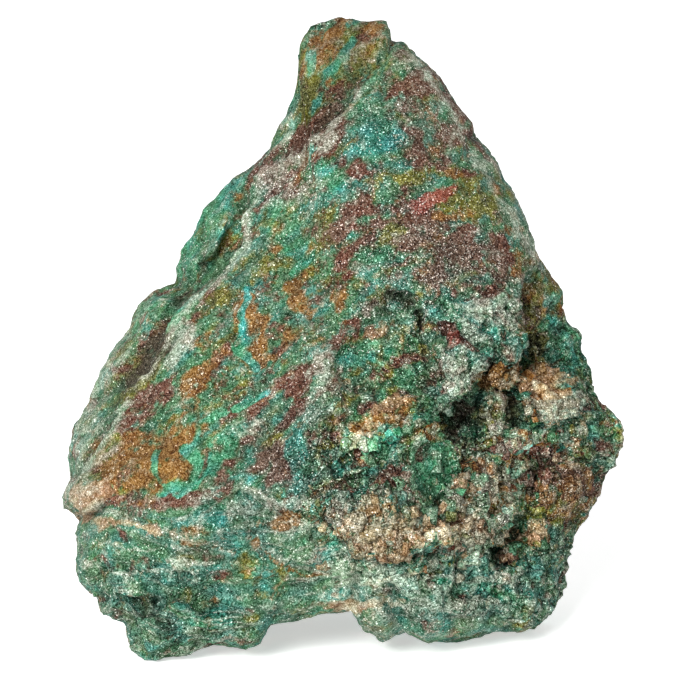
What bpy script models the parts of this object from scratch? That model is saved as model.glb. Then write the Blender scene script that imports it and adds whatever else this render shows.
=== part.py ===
"""A rough, unpolished piece of African turquoise: one broken block of green and brown jasper.

The stone is first drawn on a sheet that leans back by LEAN_DEG. On that sheet "across" runs
to the right, "up" runs from the ground line to the tip, and "out" is the height of the
surface in front of the sheet. All three are in millimetres. stand() then turns the sheet
into the room: +Z up, the worked-out front towards -Y, and the ground at Z = 0.
"""

import itertools
import math

import bmesh
import bpy
import numpy as np

MM = 0.001
NAME = "stone"

# ---------------------------------------------------------------- driving dimensions
LEAN_DEG = 8.0            # how far the widest outline leans back
TAPER_MM = 260.0          # the block would shrink to a point this far out from the sheet
AXIS_UP = 34.0            # the taper shrinks towards this height on the sheet
CORE = (0.0, 30.0)        # across and up of the middle that the outline is drawn around
GROUND_OUT = 15.0         # how far out the near foot meets the ground line
CENTRE_SHIFT = (0.675, 5.765)  # moves the finished block's box to the middle, x and y
FLANK_POWER = 3.4         # how square the section is at the sides,
TOE_POWER = 6.0           # under the front
HEEL_POWER = 2.4          # and under the back

SEGMENTS = 84             # steps along each side of the starting cube
VOXEL = 0.60 * MM         # mesh size of the joined skin
KEPT_SHARE = 0.118        # share of that skin's faces that the final block keeps
GROUND_BOX = 0.2          # side of the box that cuts the resting flats

# The widest outline, clockwise from the tip: (across, up, out). Only the feet and the
# flanks leave the sheet.
RIM = [
    (-0.9, 70.6, 0), (1.8, 70.1, 0), (4.1, 70.2, 0), (4.3, 68.3, 0), (6.0, 67.9, 0),
    (7.4, 66.6, 0), (9.9, 64.0, 0), (11.4, 61.3, 0), (13.2, 59.2, 0), (13.6, 57.5, 0),
    (14.9, 56.3, 0), (16.2, 54.8, 0), (17.0, 52.9, 0), (18.5, 50.5, 0), (19.5, 48.2, 0),
    (20.2, 45.2, 0), (22.0, 42.9, -1), (23.5, 40.6, -2), (23.3, 38.9, -2),
    (24.0, 36.9, -2), (25.3, 35.8, -2), (25.4, 34.1, -2), (26.3, 32.0, -1),
    (26.7, 29.6, 0), (27.6, 28.2, 1), (29.4, 26.6, 2), (30.0, 24.4, 2), (29.6, 22.3, 2),
    (28.2, 20.6, 1), (27.6, 18.3, 0), (26.2, 15.6, 0), (24.5, 13.1, 0), (23.7, 9.8, 1),
    (23.3, 7.3, 2), (22.2, 5.1, 3), (20.3, 3.4, 5), (16.5, 3.0, 6), (11.6, 2.1, 7),
    (8.6, 1.8, 8), (6.1, 3.3, 9), (3.6, 2.3, 9), (1.2, 3.8, 10), (0.3, 5.4, 12),
    (-3.4, 5.2, 12), (-8.8, 3.9, 13), (-10.3, 1.8, 13), (-11.5, 1.2, 13),
    (-15.2, 1.7, 14), (-17.6, 0.8, 15), (-22.6, -0.1, 15), (-24.1, 1.6, 14),
    (-24.7, 4.3, 12), (-27.2, 5.2, 10), (-27.7, 6.9, 8), (-29.4, 8.4, 6),
    (-30.1, 10.0, 5), (-29.8, 15.6, 4), (-31.3, 16.6, 3), (-31.6, 18.0, 3),
    (-30.9, 20.0, 2), (-30.8, 23.1, 1),
    (-30.1, 25.9, 0), (-28.6, 28.3, 0), (-27.7, 31.0, 0), (-26.2, 33.7, 0),
    (-24.3, 36.3, 0), (-23.1, 38.9, 0), (-21.7, 40.4, 0), (-19.2, 41.5, 0),
    (-19.2, 43.1, 0), (-18.6, 45.2, 0), (-16.9, 47.4, 0), (-16.1, 49.5, 0),
    (-14.5, 51.0, 0), (-12.6, 53.0, 0), (-10.1, 54.8, 0), (-8.9, 56.2, 0),
    (-7.5, 58.8, 0), (-6.2, 61.4, 0), (-5.6, 63.4, 0), (-5.7, 66.2, 0), (-5.4, 68.2, 0),
    (-4.4, 69.5, 0), (-3.2, 70.0, 0),
]

# Large flat faces, as (out at the sheet's zero, rise across, rise up). The surface is the
# lowest of them at each place.
FRONT_FACES = [
    (32.4, 0.20, -0.39),     # the main face, turned a little to the left
    (34.3, -0.25, -0.36),    # its right half, turned a little to the right
    (19.9, 0.08, 0.30),      # the layered band along the bottom
    (21.6, -0.60, 0.55),     # the lower right corner
    (32.2, -1.05, 0.10),     # the right flank
]
BACK_FACES = [
    (20.0, -0.05, -0.22),
    (25.0, -0.75, -0.10),
    (23.5, 0.62, -0.08),
    (12.5, 0.06, 0.42),
    (25.5, 0.34, -0.36),
]
FACE_BLEND = 1.1             # how far from an edge two faces start to round into each other

# The left edge of the main face, from the tip down to the bottom left corner. Left of it
# the surface drops and falls away.
SLAB_EDGE = [
    (5.9, 68.6), (2.0, 65.6), (-0.2, 62.9), (-1.9, 60.3), (-5.5, 56.4), (-9.7, 53.0),
    (-11.1, 49.7), (-11.8, 45.1), (-14.9, 41.5), (-17.8, 39.4), (-20.6, 35.6),
    (-22.2, 32.8), (-24.9, 29.0), (-26.8, 25.1), (-29.6, 20.9), (-33.0, 17.0),
]
SLAB_DROP = 3.0
SLAB_FALL = 0.55
SLAB_LIP = 0.8               # how far that edge hangs over the drop
LIP_REACH = 2.2

# Broken ledges: the line of the step, its drop, and how far the low side takes to recover.
# The low side is on the left, going along the line.
LEDGES = [
    # right end of the main face, over the dark recess
    ([(20.4, 43.4), (19.0, 41.6), (18.0, 39.6), (18.4, 37.6), (18.9, 35.6), (18.5, 33.3)],
     4.6, 10.0),
    # lower right corner of the main face, and the tooth that hangs from it
    ([(19.4, 34.6), (18.2, 33.3), (16.5, 34.1), (15.0, 34.4), (14.6, 31.9), (13.9, 29.5),
      (13.2, 28.9), (11.0, 28.4), (10.3, 29.4)], 4.6, 10.0),
    # the scoop to the left of the tooth
    ([(10.2, 29.4), (9.7, 32.0), (9.4, 34.4), (7.7, 36.6), (7.3, 38.5), (6.3, 39.9),
      (4.6, 40.2), (2.6, 39.4)], 2.2, 6.0),
    # under the crumbly ledge
    ([(17.0, 11.6), (15.4, 12.8), (13.2, 12.6), (12.1, 14.2), (10.6, 12.8), (8.3, 11.8),
      (6.4, 13.2), (4.9, 11.4), (2.6, 11.6), (1.4, 13.4), (-0.4, 14.6), (-2.0, 16.0)],
     2.6, 5.0),
    # where the main face breaks into the layered band
    ([(-2.0, 16.0), (-5.5, 16.3), (-8.8, 17.4), (-12.1, 18.3), (-15.4, 17.8), (-18.7, 16.4),
      (-22.0, 15.8), (-24.8, 16.7), (-28.0, 17.3), (-31.0, 17.0)], 0.8, 4.5),
    # layers of the band
    ([(6.0, 9.0), (-1.0, 10.2), (-6.0, 11.2), (-9.6, 13.2), (-13.0, 13.4), (-17.0, 12.2),
      (-24.0, 13.4), (-30.0, 14.6)], 0.6, 2.4),
    ([(20.0, 7.4), (12.0, 7.8), (4.0, 7.6), (-4.0, 8.2), (-10.0, 8.8), (-16.0, 8.2),
      (-22.0, 9.6), (-27.0, 11.6)], 0.5, 2.6),
    # streaks across the scoop
    ([(11.0, 28.6), (8.8, 26.8), (4.4, 24.2), (0.0, 22.4)], 1.1, 2.6),
    ([(8.0, 23.4), (5.8, 22.6), (2.8, 21.1), (-0.6, 20.0)], 1.4, 3.0),
    # left side of the lower right block, down to the ledge
    ([(20.6, 21.8), (19.7, 18.8), (19.9, 17.0), (18.6, 14.6), (17.6, 12.4)], 1.6, 4.0),
]
LEDGE_FADE = 1.4             # how far past the ends of its line a ledge still shows

# Lumps: (across, up, half width, half height, turn in degrees, rise, sag down). A lump
# with a negative rise is a hollow.
LUMPS = [
    # the tip: a square knob over a narrow neck
    (-0.9, 67.8, 5.2, 3.4, 12, 3.6, 0.0),
    (-3.2, 59.0, 2.2, 4.4, -22, -2.0, 0.0),
    # two lobes behind the left edge of the main face
    (-16.9, 47.0, 2.9, 5.2, -38, 3.4, 0.0),
    (-23.8, 35.8, 2.3, 6.2, -32, 3.0, 0.0),
    # corner lump at the far left
    (-29.6, 18.4, 2.2, 1.9, 10, 3.0, 0.6),
    # the tooth, the pocket under it with a small nub inside
    (12.2, 32.0, 2.1, 4.0, -12, 1.4, 0.8),
    (12.4, 26.8, 2.8, 1.9, 8, -3.8, 0.0),
    (12.9, 25.3, 0.9, 0.8, 0, 2.4, 0.0),
    (9.4, 25.6, 1.9, 2.4, -30, -1.2, 0.0),
    # blocks down the right side
    (16.5, 31.0, 1.8, 1.2, 0, 2.6, 0.3),
    (17.2, 28.0, 1.5, 2.0, 0, 1.0, 0.0),
    (22.4, 28.9, 3.9, 3.3, -16, 3.6, 0.2),
    (23.6, 31.4, 2.2, 1.4, 12, 1.2, 0.2),
    (27.0, 24.8, 3.4, 2.8, -10, 2.4, 0.0),
    (18.4, 24.2, 2.4, 1.8, 24, 1.4, 0.2),
    (13.9, 20.6, 1.5, 2.2, 4, 1.2, 0.2),
    (16.9, 17.6, 2.6, 4.4, 10, 2.2, 0.4),
    (24.2, 18.6, 3.2, 3.3, -8, 2.2, 0.3),
    (21.4, 23.2, 1.6, 1.2, 20, 1.2, 0.2),
    (16.5, 13.0, 0.8, 2.2, 8, -3.0, 0.0),
    # the flat wall beside the ledge
    (9.0, 20.9, 1.9, 3.2, 8, -2.0, 0.0),
    # crumbly ledge over the layered band
    (3.6, 15.2, 2.4, 2.4, -20, 1.4, 0.4),
    (6.6, 17.4, 1.9, 1.6, 10, 1.0, 0.2),
    (8.0, 14.4, 1.5, 1.9, 4, 1.4, 0.5),
    (11.0, 14.2, 1.8, 1.6, 4, 1.8, 0.6),
    (14.2, 14.6, 1.5, 1.7, 10, 1.4, 0.4),
    (1.2, 19.2, 2.0, 1.6, 30, 0.9, 0.2),
    # near foot on the left, with a pit over it
    (-20.4, 3.2, 4.4, 3.0, 6, 1.8, 0.0),
    (-22.6, 6.0, 1.8, 0.9, 10, -1.4, 0.0),
    (-20.2, 3.8, 0.9, 1.7, 4, -1.3, 0.0),
    # small foot and broad foot on the right
    (2.4, 4.4, 2.0, 2.2, 8, 1.6, 0.0),
    (15.0, 4.6, 7.4, 2.6, 4, 1.2, 0.0),
]
# Soft swells and dips: (across, up, half width, half height, turn in degrees, rise).
SWELLS = [
    # along the left edge of the main face
    (-16.6, 36.0, 3.0, 7.0, -38, 1.3),
    (-23.5, 22.0, 4.6, 3.4, 20, 1.0),
    (-8.0, 49.0, 2.4, 6.0, -36, 0.9),
    # across the main face, rising to the right
    (2.0, 52.0, 6.0, 2.6, 48, 0.8),
    (-5.0, 32.0, 7.4, 2.4, 40, 0.9),
    (-10.0, 24.6, 6.4, 2.2, 34, -0.9),
    (12.6, 47.0, 5.0, 2.0, 24, 0.7),
    (9.0, 52.6, 4.6, 1.8, 30, -0.6),
    # the crest beside the scoop, and the scoop itself
    (-2.6, 28.0, 2.0, 7.0, -8, 0.7),
    (4.4, 31.0, 4.0, 7.0, -22, -2.0),
    # the broken ground below the tooth lies deeper than the main face
    (17.0, 19.0, 9.0, 8.0, 0, -2.2),
    # the smooth blue bump at the top of the band
    (-14.2, 15.6, 2.6, 2.2, 0, 1.3),
    # dips of the band
    (-24.0, 10.6, 5.0, 1.8, 10, -0.7),
    (-2.0, 8.6, 5.0, 1.6, -12, -0.9),
    (10.0, 8.6, 7.0, 1.8, 4, -0.7),
]
BACK_LUMPS = [
    (-9.0, 30.0, 7.5, 9.0, 24, 2.4, 0.0),
    (10.5, 24.0, 6.0, 8.0, -30, 2.6, 0.0),
    (3.0, 43.0, 5.0, 7.5, 18, 1.6, 0.0),
    (-3.0, 15.0, 8.0, 3.6, -8, 2.0, 0.6),
    (14.0, 40.0, 3.6, 5.0, 10, -2.0, 0.0),
    (-17.0, 18.0, 4.0, 5.5, -20, -2.2, 0.0),
]
LUMP_EDGE = 0.26             # share of a lump's size that its side takes
LUMP_SQUARENESS = 3.0

# Cracks: the line, its depth and its half width.
CRACKS = [
    ([(20.3, 21.2), (19.6, 18.7), (19.8, 17.0), (18.7, 14.8), (17.8, 13.0)], 3.4, 0.9),
    ([(17.0, 30.0), (17.9, 28.0), (18.3, 26.0)], 2.2, 0.7),
    ([(-1.6, 63.0), (-3.0, 60.6), (-6.4, 56.6), (-10.4, 53.2), (-12.2, 49.4), (-12.8, 45.2),
      (-14.0, 43.6), (-16.4, 42.8), (-20.0, 42.2)], 2.6, 1.1),
    ([(-18.4, 40.0), (-20.6, 37.0), (-22.2, 34.6), (-24.4, 32.2), (-26.4, 29.6)], 2.4, 1.1),
]

# Uneven breakage, as (size of a chip, its depth) in millimetres.
CHIPS = [(7.0, 1.6), (3.6, 1.15), (1.9, 0.45)]
WAVES = [(12.0, 0.7), (5.0, 0.35), (2.4, 0.12)]
# How broken each zone is: (across, up, half width, half height, turn, share)
ROUGH_BASE = 0.30
ROUGH_ZONES = [
    (14.0, 22.0, 18.0, 16.0, -20, 0.75),
    (-24.0, 4.0, 14.0, 7.0, 0, 0.35),
    (20.0, 37.0, 7.0, 8.0, 0, 0.30),
]
ROUGH_BACK = 0.50
BACK_CHIPS = [(15.0, 3.6), (7.0, 1.4)]
OUTLINE_SHARE = 0.25         # share of the larger chips that is left at the outline
# How the lines above wander, so that no edge is drawn straight: (size of a bend, its reach)
EDGE_BENDS = (4.5, 0.7)
CHIP_BENDS = (3.1, 1.1)
EDGE_HALF_WIDTH = 0.45       # half the width over which a ledge drops


# ---------------------------------------------------------------- noise
def random_table(seed):
    """256 seeded unit vectors, with a fourth value from -1 to 1."""
    rng = np.random.default_rng(seed)
    arrows = rng.normal(size=(256, 3))
    arrows /= np.linalg.norm(arrows, axis=1, keepdims=True)
    return np.column_stack([arrows, rng.uniform(-1, 1, 256)])


def cell_pick(cell, salt):
    """A number from 0 to 255 for each whole-number cell, the same on every run."""
    mixed = cell[:, 0] * 73856093 ^ cell[:, 1] * 19349663 ^ cell[:, 2] * 83492791
    mixed = (mixed ^ (salt * 2654435761)) & 0x7FFFFFFF
    mixed = (mixed ^ (mixed >> 13)) * 1274126177 & 0x7FFFFFFF
    return (mixed ^ (mixed >> 16)) & 255


TABLE = random_table(7)


def smooth_noise(points, salt):
    """Gradient noise, about -1 to 1: a random slope at each lattice point, blended between
    with the curve 6t^5 - 15t^4 + 10t^3."""
    cell = np.floor(points).astype(np.int64)
    part = points - cell
    blend = part ** 3 * (part * (part * 6 - 15) + 10)
    total = np.zeros(len(points))
    for corner in itertools.product((0, 1), repeat=3):
        slope = TABLE[cell_pick(cell + corner, salt), :3]
        weight = np.prod(np.where(np.array(corner), blend, 1 - blend), axis=1)
        total += weight * ((part - corner) * slope).sum(axis=1)
    return total * 1.7


def chip_noise(points, salt, sharpness=16.0):
    """Broken faces, about -1 to 1. Each lattice cell holds one tilted flat around a jittered
    centre, and the nearest centre wins, more sharply as sharpness grows."""
    cell = np.floor(points).astype(np.int64)
    heights = np.zeros(len(points))
    weights = np.zeros(len(points))
    for corner in itertools.product((-1, 0, 1), repeat=3):
        near = cell + corner
        jitter = TABLE[cell_pick(near, salt)]
        tilt = TABLE[cell_pick(near, salt + 31)]
        away = points - (near + 0.5 + 0.42 * jitter[:, :3])
        weight = np.exp(-sharpness * (away ** 2).sum(axis=1))
        heights += weight * (0.45 * tilt[:, 3] + 0.9 * (away * tilt[:, :3]).sum(axis=1))
        weights += weight
    return heights / weights


# ---------------------------------------------------------------- shapes on the sheet
def to_line(across, up, line):
    """Distance from each point to a line of corners, which side it is on, and how far past
    the ends it is. The side is +1 on the left, going along the line, and -1 on the right."""
    best = np.full(across.shape, 1e9)
    side = np.ones(across.shape)
    past = np.zeros(across.shape)
    last = len(line) - 2
    for number, ((x0, y0), (x1, y1)) in enumerate(zip(line, line[1:])):
        run_x, run_y = x1 - x0, y1 - y0
        length = math.hypot(run_x, run_y)
        off_x, off_y = across - x0, up - y0
        along = (off_x * run_x + off_y * run_y) / length
        before = -along if number == 0 else 0 * along
        after = along - length if number == last else 0 * along
        along = np.clip(along, 0, length) / length
        gap = np.hypot(off_x - along * run_x, off_y - along * run_y)
        nearer = gap < best
        best = np.where(nearer, gap, best)
        side = np.where(nearer, np.sign(run_x * off_y - run_y * off_x), side)
        past = np.where(nearer, np.clip(np.maximum(before, after), 0, None), past)
    return best, side, past


def smooth_step(low, high, value):
    """0 below low, 1 above high, and an S-shaped rise between."""
    share = np.clip((value - low) / (high - low), 0, 1)
    return share * share * (3 - 2 * share)


def lump_mask(across, up, lump_across, lump_up, half_width, half_height, turn):
    """1 on top of a lump and 0 outside it, for a rounded rectangle turned by some degrees."""
    angle = math.radians(turn)
    off_x, off_y = across - lump_across, up - lump_up
    along = (off_x * math.cos(angle) + off_y * math.sin(angle)) / half_width
    beside = (off_y * math.cos(angle) - off_x * math.sin(angle)) / half_height
    reach = (np.abs(along) ** LUMP_SQUARENESS
             + np.abs(beside) ** LUMP_SQUARENESS) ** (1 / LUMP_SQUARENESS)
    return 1 - smooth_step(1 - LUMP_EDGE, 1 + LUMP_EDGE, reach)


def swell(across, up, swell_across, swell_up, half_width, half_height, turn):
    """A round hill, 1 at its top, that dies away like a bell."""
    angle = math.radians(turn)
    off_x, off_y = across - swell_across, up - swell_up
    along = (off_x * math.cos(angle) + off_y * math.sin(angle)) / half_width
    beside = (off_y * math.cos(angle) - off_x * math.sin(angle)) / half_height
    return np.exp(-along ** 2 - beside ** 2)


def lowest_face(faces, across, up):
    """The lowest of several sloping planes, with their edges rounded a little."""
    heights = np.stack([base + a * across + b * up for base, a, b in faces])
    low = heights.min(axis=0)
    return low - FACE_BLEND * np.log(np.exp(-(heights - low) / FACE_BLEND).sum(axis=0))


def front_out(across, up):
    """How far the front stands out from the sheet, and how far each point sags."""
    out = lowest_face(FRONT_FACES, across, up)
    gap, side, _ = to_line(across, up, SLAB_EDGE)
    beyond = np.where(side < 0, gap, 0.0)
    out -= SLAB_DROP * smooth_step(0, 2 * EDGE_HALF_WIDTH, beyond) + SLAB_FALL * beyond
    for line, drop, reach in LEDGES:
        gap, side, past = to_line(across, up, line)
        low_side = smooth_step(-EDGE_HALF_WIDTH, EDGE_HALF_WIDTH, gap * side)
        out -= drop * low_side * np.exp(-(gap / reach) ** 2 - (past / LEDGE_FADE) ** 2)
    for line, depth, half_width in CRACKS:
        gap, _, _ = to_line(across, up, line)
        out -= depth * np.exp(-(gap / half_width) ** 2)
    for *place, rise in SWELLS:
        out += rise * swell(across, up, *place)
    sag = np.zeros(across.shape)
    for *place, rise, fall in LUMPS:
        mask = lump_mask(across, up, *place)
        out += rise * mask
        sag += fall * mask
    return out, sag


def slab_lip(across, up):
    """How far the left edge of the main face leans out over the groove beside it."""
    gap, side, _ = to_line(across, up, SLAB_EDGE)
    return SLAB_LIP * np.where(side > 0, np.exp(-(gap / LIP_REACH) ** 2), 0.0)


def back_out(across, up):
    """How far the back stands behind the sheet."""
    out = lowest_face(BACK_FACES, across, up)
    for *place, rise, _ in BACK_LUMPS:
        out += rise * lump_mask(across, up, *place)
    sheet = np.column_stack([across, up, np.zeros(len(up))])
    for salt, (size, depth) in enumerate(BACK_CHIPS):
        out += depth * chip_noise(sheet / size, 41 + salt)
    return out


def rim_at(angle):
    """Distance from the core to the outline, and the outline's own out, at each angle."""
    rim = np.array(RIM, float)
    spokes = rim[:, :2] - CORE
    turn = np.unwrap(np.arctan2(spokes[:, 1], spokes[:, 0]))
    start = turn[-1]
    order = np.argsort((turn - start) % math.tau)
    spokes, outs = spokes[order], rim[order, 2]
    turns = (turn[order] - start) % math.tau
    spokes = np.vstack([spokes, spokes[:1]])
    outs = np.append(outs, outs[0])
    turns = np.append(turns, math.tau)
    asked = (angle - start) % math.tau
    first = np.clip(np.searchsorted(turns, asked, side="right") - 1, 0, len(turns) - 2)
    corner, edge = spokes[first], spokes[first + 1] - spokes[first]
    ray = np.column_stack([np.cos(angle), np.sin(angle)])
    reach = ((corner[:, 0] * edge[:, 1] - corner[:, 1] * edge[:, 0])
             / (ray[:, 0] * edge[:, 1] - ray[:, 1] * edge[:, 0]))
    share = (asked - turns[first]) / (turns[first + 1] - turns[first])
    return reach, outs[first] * (1 - share) + outs[first + 1] * share


def stand(across, up, out):
    """From the leaning sheet, in millimetres, to the room, in metres."""
    lean = math.radians(LEAN_DEG)
    taper = 1 - out / TAPER_MM
    height = (up - AXIS_UP) * taper
    foot_taper = 1 - GROUND_OUT / TAPER_MM
    ground = -AXIS_UP * foot_taper * math.cos(lean) + GROUND_OUT * math.sin(lean)
    x = across * taper + CENTRE_SHIFT[0]
    y = -out * math.cos(lean) + height * math.sin(lean) + CENTRE_SHIFT[1]
    z = height * math.cos(lean) + out * math.sin(lean) - ground
    return np.column_stack([x, y, z]) * MM


def roughness_of(across, up, front):
    """How broken the surface is, from 0, smooth, to 1."""
    rough = np.full(across.shape, ROUGH_BASE)
    for *place, share in ROUGH_ZONES:
        rough += share * lump_mask(across, up, *place)
    return np.where(front, np.clip(rough, 0, 1), ROUGH_BACK)


def form(directions):
    """Where the point of a unit ball in each direction lands on the stone."""
    side, depth, rise = directions.T
    angle = np.arctan2(rise, side)
    reach, rim_out = rim_at(angle)
    flat = np.hypot(side, rise)
    under = smooth_step(0.35, 0.95, -np.sin(angle))
    under_power = np.where(depth < 0, TOE_POWER, HEEL_POWER)
    power = FLANK_POWER + (under_power - FLANK_POWER) * under
    norm = (flat ** power + np.abs(depth) ** power) ** (1 / power)
    spread, bulge = flat / norm, np.abs(depth) / norm
    across = CORE[0] + spread * reach * np.cos(angle)
    up = CORE[1] + spread * reach * np.sin(angle)
    sheet = np.column_stack([across, up, np.zeros(len(up))])
    size, bend = EDGE_BENDS
    warp_across = across + bend * bulge * smooth_noise(sheet / size, 1)
    warp_up = up + bend * bulge * smooth_noise(sheet / size, 2)
    front = depth < 0
    out, sag = front_out(warp_across, warp_up)
    out = np.where(front, out, -back_out(warp_across, warp_up))
    lip = slab_lip(warp_across, warp_up)
    across = across - np.where(front, lip * bulge, 0)
    up = up - np.where(front, (sag - 0.5 * lip) * bulge, 0)
    out = rim_out * (1 - bulge) + out * bulge
    rough = roughness_of(across, up, front)
    return across, up, out, rough, bulge


def roughened(points, normals, rough, inner):
    """Pushes each point in or out by chips and waves. Big ones fade where the outline is."""
    push = np.zeros(len(points))
    size, bend = CHIP_BENDS
    bends = np.column_stack([smooth_noise(points / size, salt) for salt in (4, 5, 6)])
    bent = points + bend * bends
    fade = OUTLINE_SHARE + (1 - OUTLINE_SHARE) * inner
    for salt, (size, depth) in enumerate(CHIPS):
        push += depth * rough * fade * chip_noise(bent / size, 11 + salt)
    for salt, (size, depth) in enumerate(WAVES):
        push += depth * fade * smooth_noise(points / size, 21 + salt)
    return points + normals * push[:, None]


# ---------------------------------------------------------------- Blender objects
def clear_scene():
    for obj in list(bpy.data.objects):
        bpy.data.objects.remove(obj, do_unlink=True)


def new_collection(name):
    collection = bpy.data.collections.new(name)
    bpy.context.scene.collection.children.link(collection)
    return collection


def stone_material():
    material = bpy.data.materials.new("jasper")
    material.use_nodes = True
    shader = material.node_tree.nodes["Principled BSDF"]
    shader.inputs["Base Color"].default_value = (0.115, 0.185, 0.150, 1)
    shader.inputs["Roughness"].default_value = 0.78
    shader.inputs["Metallic"].default_value = 0.0
    return material


def make_ball():
    """A cube cut into an even grid and blown up to a unit ball, as a mesh."""
    mesh = bpy.data.meshes.new(NAME)
    shape = bmesh.new()
    bmesh.ops.create_cube(shape, size=2.0)
    bmesh.ops.subdivide_edges(shape, edges=shape.edges, cuts=SEGMENTS - 1, use_grid_fill=True)
    for vertex in shape.verts:
        vertex.co = [math.tan(value * math.pi / 4) for value in vertex.co]
        vertex.co.normalize()
    shape.to_mesh(mesh)
    shape.free()
    return mesh


def read_vertices(mesh, what):
    values = np.zeros(len(mesh.vertices) * 3)
    mesh.vertices.foreach_get(what, values)
    return values.reshape(-1, 3)


def write_vertices(mesh, points):
    mesh.vertices.foreach_set("co", points.ravel())
    mesh.update()


def make_stone(collection):
    mesh = make_ball()
    across, up, out, rough, inner = form(read_vertices(mesh, "co"))
    write_vertices(mesh, stand(across, up, out))
    points, normals = read_vertices(mesh, "co") / MM, read_vertices(mesh, "normal")
    write_vertices(mesh, roughened(points, normals, rough, inner) * MM)
    mesh.materials.append(stone_material())
    stone = bpy.data.objects.new(NAME, mesh)
    collection.objects.link(stone)
    return stone


def make_ground_cutter(collection):
    """The box under Z = 0 that leaves a true flat on each foot."""
    bpy.ops.mesh.primitive_cube_add(size=GROUND_BOX, location=(0, 0, -GROUND_BOX / 2))
    cutter = bpy.context.object
    cutter.name = "ground_cutter"
    cutter.hide_render = True
    cutter.display_type = "WIRE"
    for owner in list(cutter.users_collection):
        owner.objects.unlink(cutter)
    collection.objects.link(cutter)
    return cutter


def finish_stone(stone, cutter):
    """One clean skin, thinned to flat facets, standing on flats cut by the ground."""
    skin = stone.modifiers.new("joined skin", "REMESH")
    skin.mode = "VOXEL"
    skin.voxel_size = VOXEL
    facets = stone.modifiers.new("facets", "DECIMATE")
    facets.ratio = KEPT_SHARE
    cut = stone.modifiers.new("resting flats", "BOOLEAN")
    cut.operation = "DIFFERENCE"
    cut.object = cutter
    cut.solver = "EXACT"


def main():
    clear_scene()
    stone = make_stone(new_collection("rough_african_turquoise"))
    cutter = make_ground_cutter(new_collection("cutters"))
    finish_stone(stone, cutter)


main()
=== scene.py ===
# %% [markdown]
# # A rough piece of African turquoise
# The trade calls this stone African turquoise, but it is a green jasper: quartz stained by
# copper, with seams of rusty ochre, wine-brown and olive, and a sugary coat of tiny quartz
# grains. This piece is as it came out of the ground, broken and never polished. It stands on
# two feet with its broad sloping face to the front.
#
# The lesson builds it in this order: the form as one surface, the broken relief on it, the
# mineral zones, the quartz grains and crumbs, the finish, and last the floor, the light and
# the camera.

import itertools
import math

import bpy
import numpy as np
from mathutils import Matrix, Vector


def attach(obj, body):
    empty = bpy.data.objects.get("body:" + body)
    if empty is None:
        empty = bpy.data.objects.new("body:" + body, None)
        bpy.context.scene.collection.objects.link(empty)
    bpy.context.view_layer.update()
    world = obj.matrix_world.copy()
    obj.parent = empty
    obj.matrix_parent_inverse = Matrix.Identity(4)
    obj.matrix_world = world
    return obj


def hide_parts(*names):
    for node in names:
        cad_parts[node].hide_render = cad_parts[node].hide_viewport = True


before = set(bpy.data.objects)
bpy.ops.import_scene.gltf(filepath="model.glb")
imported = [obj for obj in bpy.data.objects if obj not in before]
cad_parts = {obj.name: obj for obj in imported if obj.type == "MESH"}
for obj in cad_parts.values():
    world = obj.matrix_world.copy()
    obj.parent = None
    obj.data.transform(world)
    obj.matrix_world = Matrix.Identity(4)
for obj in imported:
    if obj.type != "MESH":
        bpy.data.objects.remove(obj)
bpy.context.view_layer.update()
MM = 0.001

# %% [markdown]
# ## Noise for broken rock
# Rock breaks in two ways at once: it waves where it wore, and it steps where it snapped. So
# there are two kinds of noise here. Smooth noise blends random slopes, and gives waves. Chip
# noise cuts space into cells and gives each a tilted flat of its own, so that neighbours meet
# in a step, as broken faces do. Both read a small seeded table, so that every run is the same.

# %% Smooth noise and chip noise


def random_table(seed):
    """256 seeded unit vectors, with a fourth value from -1 to 1."""
    rng = np.random.default_rng(seed)
    arrows = rng.normal(size=(256, 3))
    arrows /= np.linalg.norm(arrows, axis=1, keepdims=True)
    return np.column_stack([arrows, rng.uniform(-1, 1, 256)])


TABLE = random_table(7)
NOISE_GAIN = 1.7          # brings the blended slopes to about -1 to 1
CHIP_JITTER = 0.42        # how far a chip's centre strays from the middle of its cell
CHIP_STEP, CHIP_TILT = 0.45, 0.9


def cell_pick(cell, salt):
    """A number from 0 to 255 for each whole-number cell, the same on every run."""
    mixed = cell[:, 0] * 73856093 ^ cell[:, 1] * 19349663 ^ cell[:, 2] * 83492791
    mixed = (mixed ^ (salt * 2654435761)) & 0x7FFFFFFF
    mixed = (mixed ^ (mixed >> 13)) * 1274126177 & 0x7FFFFFFF
    return (mixed ^ (mixed >> 16)) & 255


def smooth_noise(points, salt):
    """About -1 to 1: a random slope at each lattice point, blended between with the curve
    6t^5 - 15t^4 + 10t^3."""
    cell = np.floor(points).astype(np.int64)
    part = points - cell
    blend = part ** 3 * (part * (part * 6 - 15) + 10)
    total = np.zeros(len(points))
    for corner in itertools.product((0, 1), repeat=3):
        slope = TABLE[cell_pick(cell + corner, salt), :3]
        weight = np.prod(np.where(np.array(corner), blend, 1 - blend), axis=1)
        total += weight * ((part - corner) * slope).sum(axis=1)
    return total * NOISE_GAIN


def chip_noise(points, salt, sharpness=16.0):
    """About -1 to 1. Each lattice cell holds one tilted flat around a jittered centre, and the
    nearest centre wins, more sharply as sharpness grows."""
    cell = np.floor(points).astype(np.int64)
    heights = np.zeros(len(points))
    weights = np.zeros(len(points))
    for corner in itertools.product((-1, 0, 1), repeat=3):
        near = cell + corner
        jitter = TABLE[cell_pick(near, salt)]
        tilt = TABLE[cell_pick(near, salt + 31)]
        away = points - (near + 0.5 + CHIP_JITTER * jitter[:, :3])
        weight = np.exp(-sharpness * (away ** 2).sum(axis=1))
        flat = CHIP_STEP * tilt[:, 3] + CHIP_TILT * (away * tilt[:, :3]).sum(axis=1)
        heights += weight * flat
        weights += weight
    return heights / weights

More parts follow.
